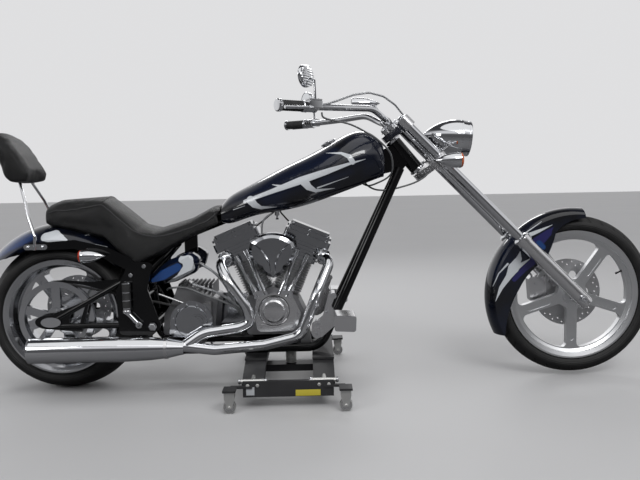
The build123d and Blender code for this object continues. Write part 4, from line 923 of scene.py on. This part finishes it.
@dataclass
class Wardrobe:
    """The finish of each carried-over node."""

    frame: dict
    shop: Paintshop

    def dress(self) -> None:
        """Give every node its finish."""
        table = {
            BLACK: ("frame_spine", "frame_cradle", "swingarm", "side_plates", "fender_struts"),
            TANK_PAINT: ("fuel_tank",),
            REAR_FENDER_PAINT: ("rear_fender",),
            OIL_TANK_PAINT: ("oil_tank",),
            FRONT_FENDER_PAINT: ("front_fender",),
            PAINTED_REFLECTION_CHROME: ("rocker_covers", "air_cleaner", "cylinder_heads", "gearbox_cover", "primary_cover"),
            BRAID: ("oil_lines", "brake_hose"),
            CHROME: ("rear_axle", "sissy_bar", "pushrod_tubes", "exhaust_pipes", "silencer", "rear_signals",
                     "front_signals", "fork_tubes", "front_axle", "headlight", "handlebar", "hand_controls",
                     "mirrors", "side_stand"),
            POLISHED: ("cam_cover", "foot_controls", "front_pegs", "rear_caliper", "fork_yokes", "fork_sliders",
                       "front_caliper"),
            WHEEL_ALLOY: ("front_rim",),
            SHADED_ALLOY: ("rear_rim", "rear_pulley"),
            CAST: ("crankcase", "gearbox", "carburettor"),
            FIN_ALLOY: ("cylinders",),
            STEEL: ("front_disc", "rear_disc"),
            ZINC: ("lift_castors",),
            RUBBER: ("drive_belt", "passenger_pegs", "grips"),
            REAR_TREAD: ("rear_tyre",),
            FRONT_TREAD: ("front_tyre",),
            CLEAR: ("headlight_glass",),
            RED: ("tail_lamp",),
            LIFT_PAINT: ("lift_base", "lift_arms", "lift_platform"),
        }
        for finish, nodes in table.items():
            material = self.shop.coat(finish)
            for name in nodes:
                for slot in self.frame["nodes"][name].material_slots:
                    slot.material = material
                log.info("%s wears %s", name, material.name)


@dataclass
class Upholstery:
    """The leather seat and backrest, crowned by a short pressure simulation, and the seat's piping.

    The swell of the simulation is capped, in metres, and it runs for a number of frames.
    """

    frame: dict
    shop: Paintshop
    voxel: float = 0.006
    pressure: float = 4.0
    cap: float = 0.007
    frames: int = 20
    shoulder: Profile = ((-0.05, 0.78), (0.05, 0.795), (0.19, 0.806), (0.262, 0.752), (0.335, 0.69),
                         (0.415, 0.663), (0.5, 0.68), (0.6, 0.725), (0.68, 0.772))

    def build(self) -> None:
        """Make both padded pieces and the piping on the seat's shoulders and back."""
        seat = self.pad("seat_leather", "seat", 12)
        self.pad("backrest_leather", "backrest_pad", 9)
        lines = [[(x, 0.135 * side, z) for x, z in self.shoulder] for side in SIDES]
        lines.append([(0.214, y, 0.86) for y in (-0.13, -0.09, -0.04, 0.0, 0.04, 0.09, 0.13)])
        form = bmesh.new()
        for line in lines:
            found = [seat.closest_point_on_mesh(spot) for spot in smooth_path(line, 10)]
            add_tube(form, [near + normal * 0.0006 for hit, near, normal, _ in found if hit], 0.0026, 8)
        settle(mesh_piece("seat_piping", form, self.shop.coat(THREAD)), Body.CHASSIS)

    def pad(self, name: str, node: str, passes: int) -> Piece:
        """Copy a solid, soften it and blow it up a little.

        Args:
            name: the new piece's name.
            node: the solid that it stands for.
            passes: rounds of smoothing before the simulation.

        Returns:
            The padded piece.
        """
        piece = placed(name, self.frame["nodes"][node].data.copy())
        self.apply(piece, "REMESH", mode="VOXEL", voxel_size=self.voxel)
        self.apply(piece, "SMOOTH", iterations=passes, factor=0.6)
        self.swell(piece)
        self.apply(piece, "SMOOTH", iterations=9, factor=0.5)
        self.apply(piece, "SUBSURF", levels=1)
        piece.data.materials.clear()
        piece.data.materials.append(self.shop.coat(LEATHER))
        piece.data.shade_smooth()
        settle(piece, Body.CHASSIS)
        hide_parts(node)
        return piece

    def apply(self, piece: Piece, kind: str, **settings: float | str) -> None:
        """Run one modifier on a piece and keep only its result."""
        modifier = piece.modifiers.new(kind.lower(), kind)
        for key, value in settings.items():
            setattr(modifier, key, value)
        graph = bpy.context.evaluated_depsgraph_get()
        result = bpy.data.meshes.new_from_object(piece.evaluated_get(graph))
        piece.modifiers.clear()
        piece.data = result

    def swell(self, piece: Piece) -> None:
        """Blow the piece up with cloth pressure, no point further than the cap."""
        start = [vert.co.copy() for vert in piece.data.vertices]
        cloth = piece.modifiers.new("cloth", "CLOTH")
        cloth.settings.use_pressure = True
        cloth.settings.uniform_pressure_force = self.pressure
        cloth.settings.effector_weights.gravity = 0.0
        cloth.settings.quality = 4
        cloth.point_cache.frame_start = 1
        cloth.point_cache.frame_end = self.frames
        scene = bpy.context.scene
        for number in range(1, self.frames + 1):
            scene.frame_set(number)
        graph = bpy.context.evaluated_depsgraph_get()
        ends = [vert.co.copy() for vert in piece.evaluated_get(graph).data.vertices]
        piece.modifiers.clear()
        for vert, before, after in zip(piece.data.vertices, start, ends):
            move = after - before
            if move.length > self.cap:
                move.length = self.cap
            vert.co = before + move
        scene.frame_set(1)


@dataclass
class Fasteners(Bench):
    """Every set of screws, bolts and nuts."""

    crank: tuple[float, float] = (0.900, 0.270)
    lean: float = 22.5
    pillar: float = 0.434
    sunk: float = 0.0006

    def build(self) -> None:
        """Make each set."""
        cam = [(x, -0.124, z) for x, z in ((0.842, 0.383), (0.978, 0.386), (1.006, 0.322), (0.832, 0.316))]
        cam += [(x, -0.132, 0.267) for x in (0.850, 0.982)]
        self.screws("cam_cover_screws", 4.2, [(spot, RIGHT) for spot in cam])
        self.screws("rocker_screws", 4.8, self.rockers())
        self.screws("gearbox_screws", 4.0, ring((0.566, -0.174, 0.304), 0.078, 6, RIGHT, 8, 32))
        clutch_end = ring((0.560, 0.176, 0.290), 0.083, 7, LEFT, 68, 34)
        crank_end = ring((0.900, 0.176, 0.270), 0.083, 7, LEFT, -112, 34)
        self.screws("primary_screws", 4.5, clutch_end + crank_end)
        self.screws("clutch_cover_screws", 3.8, ring((0.560, 0.184, 0.290), 0.054, 5, LEFT, 90, 72))
        self.screws("side_plate_bolts", 8.5, twins([(0.3825, 0.198, 0.5454), (0.3268, 0.198, 0.5098)]))
        self.screws("pivot_nuts", 14.5, twins([(0.410, 0.206, 0.295)]), Head.HEX)
        self.screws("sissy_bar_nuts", 6.5, twins([(-0.102, 0.158, 0.629), (-0.042, 0.158, 0.629)]), Head.ACORN)
        self.body = Body.REAR_WHEEL
        self.screws("pulley_bolts", 6.2, ring((0.0, -0.154, 0.326), 0.033, 5, RIGHT, 90, 72))
        self.screws("rear_disc_bolts", 5.5, ring((0.0, 0.130, 0.326), 0.028, 5, LEFT, 90, 72))
        self.body = Body.FRONT_WHEEL
        self.screws("front_disc_bolts", 5.2, ring((2.216, 0.056, 0.362), 0.028, 5, LEFT, 90, 72))
        self.body = Body.STEERING
        self.screws("front_axle_nuts", 12.5, twins([(2.216, 0.148, 0.362)]))
        self.screws("yoke_pinch_bolts", 5.0, self.pinches())
        self.screws("stem_nut", 15.5, [((1.39915, 0.0, 1.08612), STEER_UP)], Head.ACORN)
        self.screws("clamp_bolts", 4.2, self.clamps())
        inner = [((2.072, 0.040, z), RIGHT) for z in (0.402, 0.352)]
        outer = [((2.098, 0.100, 0.404), LEFT), ((2.142, 0.100, 0.406), LEFT)]
        self.screws("front_caliper_bolts", 6.0, inner + outer)
        self.body = Body.CHASSIS
        self.screws("rear_caliper_bolts", 6.0, [((0.055, 0.160, 0.456), LEFT), ((0.120, 0.160, 0.403), LEFT)])
        self.screws("control_pivot_bolts", 6.5,
                    twins([(1.086, 0.252, 0.264), (1.092, 0.258, 0.306), (1.128, 0.246, 0.352)]))
        outer = twins([(x, 0.441, 0.024) for x in CASTOR_X])
        inner = twins([(x, 0.409, 0.024) for x in CASTOR_X], RIGHT)
        self.screws("castor_nuts", 6.5, outer + inner, Head.HEX, ZINC)
        rails = [(x, 0.392, 0.094) for x in (0.812, 0.850, 1.090, 1.128)]
        self.screws("lift_bolts", 6.0, twins(rails), Head.HEX, ZINC)

    def screws(self, name: str, radius: float, places: Rows, kind: Head = Head.SOCKET,
               finish: Finish = CHROME) -> None:
        """Seat one set of heads, slightly sunk, on the body in hand.

        Args:
            name: the piece's name.
            radius: the head's radius in millimetres.
            places: foot and direction of each.
            kind: the head's form.
            finish: its finish.
        """
        seats = [(tuple(Vector(spot) - Vector(out).normalized() * self.sunk), out) for spot, out in places]
        self.lathes(name, seats, kind.profile(radius), finish, kind.value[0])

    def rockers(self) -> Rows:
        """Seat the screws on the rocker covers' pillars."""
        places = []
        for side in SIDES:
            angle = math.radians(self.lean * side)
            up = (math.sin(angle), 0.0, math.cos(angle))
            for along in (-0.084, 0.0, 0.084):
                for across in (-0.066, 0.066):
                    x = self.crank[0] + self.pillar * math.sin(angle) + along * math.cos(angle)
                    z = self.crank[1] + self.pillar * math.cos(angle) - along * math.sin(angle)
                    places.append(((x, across, z), up))
        return places

    def pinches(self) -> Rows:
        """Seat the bolts at the back of each fork clamp and at each slider's foot."""
        rises = (0.8316, 0.8536, 1.0464, 1.0684, 0.020, -0.012)
        spots = [tuple(Vector(fork_point(rise)) + Vector(FORK_BACK) * 0.0308) for rise in rises]
        return twins(spots, FORK_BACK)

    def clamps(self) -> Rows:
        """Seat the bolts of the handlebar clamps."""
        top = Vector(BAR_CLAMP) + Vector(STEER_UP) * 0.0175
        ahead = Vector((0.76604, 0.0, 0.64279))
        return twins([tuple(top + ahead * shift) for shift in (-0.0125, 0.0125)], STEER_UP)


@dataclass
class Engine(Bench):
    """Plugs, flanges, hoses and taps of the V-twin and its gearbox."""

    silencer: Triple = (0.0, -0.252, 0.215)

    def build(self) -> None:
        """Make the fittings."""
        self.exhaust()
        self.ignition()
        self.plumbing()
        cap = [(28, 0), (30, 14), (33.5, 14.6), (34.2, 16), (34.2, 21.5), (32.5, 23.8), (24, 26.2), (22, 25.6),
               (0, 26.8)]
        lid = self.lathes("filler_cap_lid", [((1.160, 0.0, 1.026), (-0.40613, 0.0, 0.91381))], cap, CHROME, 40)
        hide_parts("filler_cap")
        gasket = [(64.5, 0), (66.2, 0.8), (66.2, 2.8), (64.5, 3.6)]
        self.lathes("cam_dome_gasket", [((0.906, -0.124, 0.336), RIGHT)], gasket, SOOT, 48)

    def exhaust(self) -> None:
        """Make the pipe flanges and the silencer's band, tip and dark core."""
        ports = [((1.1195, -0.0825, 0.5575), (0.058, -0.068, -0.018)),
                 ((0.701, -0.0845, 0.5515), (-0.034, -0.076, -0.011))]
        flange = [(22.2, -6), (33, -6), (35, -3), (35, 3), (33, 6), (22.2, 6)]
        self.lathes("exhaust_flanges", ports, flange, CHROME)
        band = [(39.5, -7), (42.8, -6.5), (42.8, 6.5), (39.5, 7)]
        self.lathes("silencer_band", [((0.474, *self.silencer[1:]), AHEAD)], band, POLISHED, 40)
        tip = [(46.8, -78.5), (46.8, -79.2), (51.2, -79.2), (52.2, -77), (52.2, -72), (51, -71)]
        self.lathes("silencer_tip", [(self.silencer, AHEAD)], tip, CHROME, 48)
        core = [(0, 58.8), (46.2, 58.4), (46.2, -60), (46.8, -60), (46.8, 59.2), (0, 59.6)]
        self.lathes("silencer_core", [(self.silencer, AHEAD)], core, SOOT, 40)

    def ignition(self) -> None:
        """Make the plug caps and their leads."""
        plug = [(11, 0), (11, 6), (8.5, 7), (8.5, 14), (9.5, 15), (9.5, 34), (6, 37), (0, 37.2)]
        seats = [((x, 0.062, 0.590), (0, 1, 0.25)) for x in (0.760, 1.040)]
        self.lathes("spark_plug_caps", seats, plug, RUBBER)
        self.tubes("spark_plug_leads", [
            [(0.760, 0.098, 0.599), (0.770, 0.122, 0.622), (0.812, 0.118, 0.672), (0.862, 0.092, 0.712),
             (0.898, 0.062, 0.742), (0.908, 0.056, 0.758)],
            [(1.040, 0.098, 0.599), (1.032, 0.122, 0.622), (0.996, 0.118, 0.672), (0.960, 0.092, 0.712),
             (0.936, 0.062, 0.744), (0.930, 0.056, 0.762)],
        ], 0.0035, HOSE)

    def plumbing(self) -> None:
        """Make the small hoses with their collars, the fuel tap and the shift rod."""
        self.tubes("breather_hose", [
            [(0.861, -0.110, 0.655), (0.8625, -0.105, 0.690), (0.868, -0.100, 0.715), (0.882, -0.094, 0.732),
             (0.902, -0.086, 0.744), (0.918, -0.078, 0.758)],
        ], 0.0042, SHEATH)
        tap = [(0, -30), (6, -30), (7, -26), (4, -22), (4, -14), (10, -12), (10, 4), (13, 6), (13, 14),
               (0, 14.5)]
        self.lathes("fuel_tap", [((0.925, -0.050, 0.748), UPWARD)], tap, CHROME)
        self.tubes("shift_rod", [[(0.4278, -0.150, 0.4211), (0.551, -0.150, 0.3723)]], 0.0045, POLISHED)
        self.tubes("gearbox_hose", [
            [(0.452, -0.100, 0.430), (0.470, -0.112, 0.440), (0.538, -0.124, 0.4405), (0.618, -0.134, 0.4102),
             (0.702, -0.142, 0.3786), (0.752, -0.138, 0.348), (0.772, -0.118, 0.318), (0.784, -0.082, 0.300)],
        ], 0.0042, SHEATH)
        ends = [((0.556, -0.1108, 0.464), (0.72, -0.24, -0.62)),
                ((0.604, -0.1096, 0.537), (0.86, -0.36, -0.36)),
                ((0.781, -0.064, 0.3305), (0.6, 0.75, -0.25)),
                ((0.786, -0.030, 0.2915), (0.7, 0.45, -0.55))]
        self.lathes("hose_collars", ends, [(5.6, -8), (8.5, -8), (8.5, 8), (5.6, 8)], STEEL, 12)


@dataclass
class Wheels(Bench):
    """Valves and seals of the two wheels, and the caps and seals of the fork and steering head."""

    def build(self) -> None:
        """Make the fittings."""
        stem = [(6, 0), (6, 4), (3.8, 8), (3.8, 22), (4.6, 23), (4.6, 31), (0, 32)]
        for name, body, centre, bed, angle in (
            ("front_valve", Body.FRONT_WHEEL, FRONT_AXLE, 0.246, 23.5),
            ("rear_valve", Body.REAR_WHEEL, REAR_AXLE, 0.207, 200.0),
        ):
            self.body = body
            out = Vector((math.cos(math.radians(angle)), 0.0, math.sin(math.radians(angle))))
            self.lathes(name, [(tuple(Vector(centre) + out * bed), tuple(-out))], stem, RUBBER, 12)
        self.body = Body.FRONT_WHEEL
        seal = [(16.5, 0), (16.5, 0.8), (26, 0.8), (26.5, 0)]
        self.lathes("front_hub_seals", twins([(2.216, 0.050, 0.362)]), seal, RUBBER, 32)
        self.body = Body.STEERING
        cap = [(20.8, -6), (22.5, -4), (22.5, 2), (17, 5), (15, 5), (15, 10), (11, 12.5), (0, 12.8)]
        self.lathes("fork_caps", twins([(1.45493, 0.110, 1.13109)], FORK_UP), cap, CHROME, 32)
        wiper = [(20.7, 0), (32, 0), (32, 3.5), (24.5, 9), (20.7, 9.5)]
        self.lathes("fork_seals", twins([fork_point(0.366)], FORK_UP), wiper, CHROME, 32)
        foot = [(31.2, 0), (31.2, -2), (28, -6), (16, -10), (0, -10.5)]
        self.lathes("slider_feet", twins([fork_point(-0.034)], FORK_UP), foot, POLISHED, 32)
        self.body = Body.CHASSIS
        cup = [(30.2, -4), (33.5, -4), (34.5, -1), (34.5, 6), (30.2, 7)]
        lift = Vector(STEER_UP) * 0.080
        rows = [(tuple(Vector(HEAD_CENTRE) + lift * way), tuple(lift * way)) for way in (1, -1)]
        self.lathes("neck_cups", rows, cup, CHROME, 36)


@dataclass
class Lamps(Bench):
    """Reflector, bezels and lenses."""

    body: Body = Body.STEERING
    face: Triple = (1.758, 0.0, 1.050)
    axis: Triple = (0.99499, 0.0, -0.1)

    def build(self) -> None:
        """Make the lamp parts."""
        bowl = [(0, -21.8), (68.6, -21.8), (68.6, -11.2), (60, -14.5), (45, -18.2), (26, -20.8), (12, -21.4),
                (9.5, -20.5), (9.5, -14.5), (6, -11.8), (0, -11.4)]
        bezel = [(69.5, 0.2), (69.5, 2.2), (72.5, 4.2), (75.2, 3), (76.2, 0), (76.8, -8), (74.8, -8.2)]
        band = [(77.2, -41), (80.3, -40.5), (80.6, -34.5), (78, -33.5)]
        for name, profile, finish, steps in (
            ("headlight_reflector", bowl, MIRROR, 48),
            ("headlight_bezel", bezel, CHROME, 64),
            ("headlight_band", band, CHROME, 64),
        ):
            self.lathes(name, [(self.face, self.axis)], profile, finish, steps)
        self.signals("front", twins([(1.684, 0.186, 0.955)], AHEAD), AMBER, 1.0, 0.0)
        self.body = Body.CHASSIS
        self.signals("rear", twins([(0.127, 0.188, 0.590)], ASTERN), RED_AMBER, 0.84, 4.8)

    def signals(self, name: str, rows: Rows, finish: Finish, share: float, less: float) -> None:
        """Make a pair of turn signal lenses and their rims.

        Args:
            name: where they are.
            rows: foot and direction of each.
            finish: the lens's finish.
            share: the lens's share of the front one's radius.
            less: how much smaller the rim's radius is than the front one's, in millimetres.
        """
        dome = [(30.2, -1), (30.2, 5.5), (27, 9.5), (18, 12.8), (0, 14.2)]
        rim = [(30.4, -4), (32.6, -3.6), (32.6, 1.2), (30.4, 2)]
        lens = [(radius * share, rise) for radius, rise in dome]
        self.lathes(f"{name}_signal_lenses", rows, lens, finish, 36)
        self.lathes(f"{name}_signal_rims", rows, [(radius - less, rise) for radius, rise in rim], CHROME, 36)


@dataclass
class Controls(Bench):
    """Grips, levers, mirrors, clamps and the instrument at the handlebar.

    The left grip starts at the end and follows the run; the levers lie ahead of it.
    """

    body: Body = Body.STEERING
    end: Triple = (1.052, 0.417, 1.158)
    run: Triple = (-0.8209, 0.5711, 0.0)
    ahead: Triple = (0.5711, 0.8209, 0.0)
    facets: int = 48

    def build(self) -> None:
        """Make the parts at both ends of the bar."""
        self.grips()
        self.housings()
        self.mirrors()
        self.instrument()
        blocks = [facing(spot, STEER_UP, LEFT) for spot, _ in twins([BAR_CLAMP])]
        self.blocks("bar_clamps", blocks, (0.034, 0.040, 0.035), 0.005, CHROME)

    def spot(self, side: int, along: float, ahead: float = 0.0, up: float = 0.0) -> Triple:
        """Place a point near a bar end: along the grip, ahead of it and above it."""
        point = Vector(self.end) + Vector(self.run) * along + Vector(self.ahead) * ahead
        return (point.x, side * point.y, point.z + up)

    def way(self, side: int) -> Triple:
        """Give the outward direction of a grip."""
        return (self.run[0], side * self.run[1], self.run[2])

    def round_grips(self, name: str, stations: Sequence[float], profile: Profile, finish: Finish,
                    steps: int = 32, slot: str | None = None) -> None:
        """Turn a profile round both grips at stations along them, in metres."""
        rows = [(self.spot(side, along), self.way(side)) for side in SIDES for along in stations]
        self.lathes(name, rows, profile, finish, steps, slot)

    def grips(self) -> None:
        """Make the chrome ends, the collars and the moulded rings."""
        cap = [(19, -1.2), (23.6, -0.8), (23.8, 0), (23.8, 10.5), (20.5, 14.2), (12, 15.2), (0, 15.5)]
        self.round_grips("grip_ends", (0.104,), cap, CHROME)
        collar = [(18.8, -2), (21.5, -2), (22.2, 0), (22.2, 4), (18.8, 6)]
        self.round_grips("grip_collars", (0.002,), collar, CHROME)
        rib = [(18.6, -2.6), (20.1, -1.6), (20.1, 1.6), (18.6, 2.6)]
        self.round_grips("grip_ribs", [0.014 + 0.0095 * step for step in range(9)], rib, RUBBER, 28)

    def housings(self) -> None:
        """Make the lever housings with their lids, pivots and push buttons."""
        keys = [(-0.040 + 0.013 * step, -0.0212, 0.004) for step in range(3)]
        for name, places, size, bevel, finish in (
            ("lever_housings", [(-0.024, 0.033, 0.004)], (0.034, 0.032, 0.060), 0.006, CHROME),
            ("reservoir_lids", [(-0.024, 0.033, 0.0222)], (0.031, 0.005, 0.056), 0.0018, POLISHED),
            ("switch_buttons", keys, (0.006, 0.009, 0.008), 0.0015, SATIN),
        ):
            spots = [facing(self.spot(side, *place), self.way(side)) for side in SIDES for place in places]
            self.blocks(name, spots, size, bevel, finish, "chrome" if finish is POLISHED else None)
        places = [(-0.044, 0.033, 0.0245), (-0.004, 0.033, 0.0245), (0.006, 0.0514, -0.0035)]
        screws = [(self.spot(side, *place), UPWARD) for side in SIDES for place in places]
        self.lathes("housing_screws", screws, Head.SOCKET.profile(3.2), CHROME, 14)
        sleeve = [(21.4, -2.5), (22.6, -2), (22.6, 2), (21.4, 2.5)]
        self.round_grips("housing_bands", (-0.047, -0.008), sleeve, POLISHED, slot="chrome")

    def mirrors(self) -> None:
        """Make the mirror glasses, their rims and the domed, fluted backs."""
        rim = ((1.012, 4), (1.03, 6), (1.03, 14.5), (0.985, 16.2), (0.935, 15.2), (0.93, 14.2))
        back = ((1.0, 0.5), (0.97, -3), (0.84, -6.2), (0.55, -8.6), (0.2, -9.4))
        glass = ((0.94, 14.1), (0.93, 14.8), (0.6, 15))
        for name, finish, ovals in (
            ("mirror_rims", CHROME, rim),
            ("mirror_backs", FLUTED, back),
            ("mirror_glasses", MIRROR, glass),
        ):
            form = bmesh.new()
            for side in SIDES:
                self.stack(form, side, ovals)
            self.piece(name, form, finish)

    def stack(self, form: Form, side: int, ovals: Profile) -> None:
        """Join ovals along a mirror's axis with faces and close both ends.

        Args:
            form: the form that grows.
            side: -1 on the right and 1 on the left.
            ovals: the share of the mirror's size and the rise of each in millimetres.
        """
        axis = Vector((-0.93, -side * 0.36, 0.0)).normalized()
        across = Vector((0.36, -side * 0.93, 0.0)).normalized() * 0.060
        tall = Vector((0.0, 0.0, 0.040))
        head = Vector(self.spot(side, -0.020, 0.0, 0.112))
        turns = [math.tau * number / self.facets for number in range(self.facets)]
        oval = [across * math.cos(turn) + tall * math.sin(turn) for turn in turns]
        skin(form, [[head + axis * rise * MM + out * share for out in oval] for share, rise in ovals])

    def instrument(self) -> None:
        """Make the dial and its bezel in the bullet behind the bar."""
        self.lathes("instrument_dial", [(DIAL.centre, ASTERN)], [(21.2, 0), (21.2, 0.6), (0, 0.62)], DIAL, 40)
        bezel = [(21.2, 0), (21.2, 1.6), (23.2, 2.8), (25, 1.4), (25.2, -4), (23.8, -4.5)]
        self.lathes("instrument_bezel", [(DIAL.centre, ASTERN)], bezel, CHROME, 40)


@dataclass
class Cables(Bench):
    """The cables that cross from the handlebar and lamp to the frame."""

    def build(self) -> None:
        """Run the throttle cable and the lamp's loom."""
        self.cross("throttle_cable", [
            (1.118, -0.402, 1.136), (1.1322, -0.395, 1.1142), (1.2268, -0.330, 1.0962), (1.300, -0.260, 1.066),
            (1.352, -0.215, 1.036), (1.400, -0.180, 0.9862), (1.4137, -0.130, 0.9228), (1.398, -0.090, 0.890),
            (1.360, -0.055, 0.868), (1.324, -0.030, 0.856), (1.296, -0.013, 0.866), (1.274, -0.008, 0.893),
            (1.262, -0.007, 0.917)], 0.0036, (1.38, -0.15, 1.03), (1.38, -0.15, 0.885))
        self.cross("lamp_loom", [
            (1.585, -0.060, 0.935), (1.566, -0.066, 0.897), (1.522, -0.058, 0.868), (1.462, -0.046, 0.848),
            (1.402, -0.038, 0.836), (1.354, -0.018, 0.838), (1.320, 0.004, 0.856), (1.301, 0.009, 0.884),
            (1.294, 0.009, 0.914)], 0.0038, (1.56, 0.0, 0.87), (1.44, 0.0, 0.83))

    def cross(self, name: str, route: Sequence[Triple], radius: float, start: Triple, end: Triple) -> None:
        """Lay one cable along its route, from the steering to the frame, fixed in place.

        Args:
            name: the piece's name.
            route: the points that it passes.
            radius: its radius.
            start: where it was to leave off following the steering; not used.
            end: where it was to follow the frame alone; not used.
        """
        form = bmesh.new()
        add_tube(form, smooth_path(route), radius)
        cable = mesh_piece(name, form, self.shop.coat(SHEATH))
        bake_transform(cable)
        log.info("%s crosses from %s to %s", name, Body.STEERING.value, Body.CHASSIS.value)


@dataclass
class Pegs(Bench):
    """Rings, caps and hinges of the passenger pegs."""

    def build(self) -> None:
        """Make the chrome rings and links over the rubber."""
        x, y = 0.311, 0.216
        for name, rises, profile in (
            ("peg_rings", (0.442, 0.409, 0.376), [(16.8, -2.6), (18.6, -2), (18.6, 2), (16.8, 2.6)]),
            ("peg_caps", (0.480,), [(16.8, -4), (18.8, -3), (18.8, 1), (15, 3.5), (0, 4.2)]),
            ("peg_feet", (0.356,), [(0, -1.5), (15.5, -1), (18.2, 3), (18.2, 11), (16.8, 13)]),
        ):
            self.lathes(name, twins([(x, y, z) for z in rises], UPWARD), profile, CHROME, 32)
        links = [[(x, side * y, 0.358), (0.358, side * y, 0.306)] for side in SIDES]
        self.tubes("peg_links", links, 0.0098, CHROME)
        hinge = [(13.2, 0), (13.8, 1), (13.8, 26), (12, 28.5), (6, 29), (6, 26.2), (0, 26.2)]
        self.lathes("peg_hinges", twins([(0.358, 0.1985, 0.306)]), hinge, CHROME, 32)


@dataclass
class LiftFittings(Bench):
    """Castor tyres, pin sleeves, screw thread and the blank labels of the lift."""

    def build(self) -> None:
        """Make the fittings."""
        steel = ZINC.slot
        castors = [((x, side * 0.425, 0.0243), LEFT) for side in SIDES for x in CASTOR_X]
        tyre = [(17, -12.4), (22.2, -12.4), (24.3, -9), (24.3, 9), (22.2, 12.4), (17, 12.4), (17, 11.8)]
        self.lathes("castor_tyres", castors, tyre, GREY_NYLON, 36)
        hub = [(0, -12.8), (9, -12.8), (9.5, -12.2), (16.8, -12.1), (16.8, 12.1), (9.5, 12.2), (9, 12.8),
               (0, 12.8)]
        self.lathes("castor_hubs", castors, hub, POLISHED, 28, steel)
        pins, knobs = [], []
        for side in SIDES:
            y, z = side * 0.372, 0.106
            for x in (0.830, 1.110):
                pins += [[(x - 0.052, y, z), (x + 0.052, y, z)], [(x, y, z), (x, y - side * 0.06, z)]]
                knobs += [((x - 0.050, y, z), ASTERN), ((x + 0.050, y, z), AHEAD)]
        self.tubes("lift_pin_sleeves", pins, 0.0084, ZINC)
        knob = [(0, -4.5), (8, -4), (10.5, -1), (10.5, 4), (7.5, 7), (0, 7.8)]
        self.lathes("lift_pin_knobs", knobs, knob, CHROME, 20, steel)
        turns = [((0.970, 0.0, 0.083 + 0.0068 * turn), UPWARD) for turn in range(9)]
        thread = [(21.9, -3.4), (24.1, -0.6), (24.1, 0.6), (21.9, 3.4)]
        self.lathes("lift_screw_thread", turns, thread, ZINC, 32)
        for name, finish, x0, x1, z0, z1 in (
            ("lift_label", PALE_LABEL, 0.998, 1.095, 0.0505, 0.0745),
            ("lift_notice", GREY_LABEL, 0.806, 0.838, 0.056, 0.088),
        ):
            middle = Matrix.Translation(((x0 + x1) / 2, -0.3922, (z0 + z1) / 2))
            self.blocks(name, [middle], (x1 - x0, 0.0012, z1 - z0), 0.0004, finish)


def main() -> None:
    """Load the frame, dress it and add the pieces."""
    logging.basicConfig(level=logging.INFO, format="%(message)s")
    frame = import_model()
    shop = Paintshop()
    Studio().build()
    Wardrobe(frame, shop).dress()
    Upholstery(frame, shop).build()
    for trade in (Fasteners, Engine, Wheels, Lamps, Controls, Cables, Pegs, LiftFittings):
        trade(shop).build()


if __name__ == "__main__":
    main()
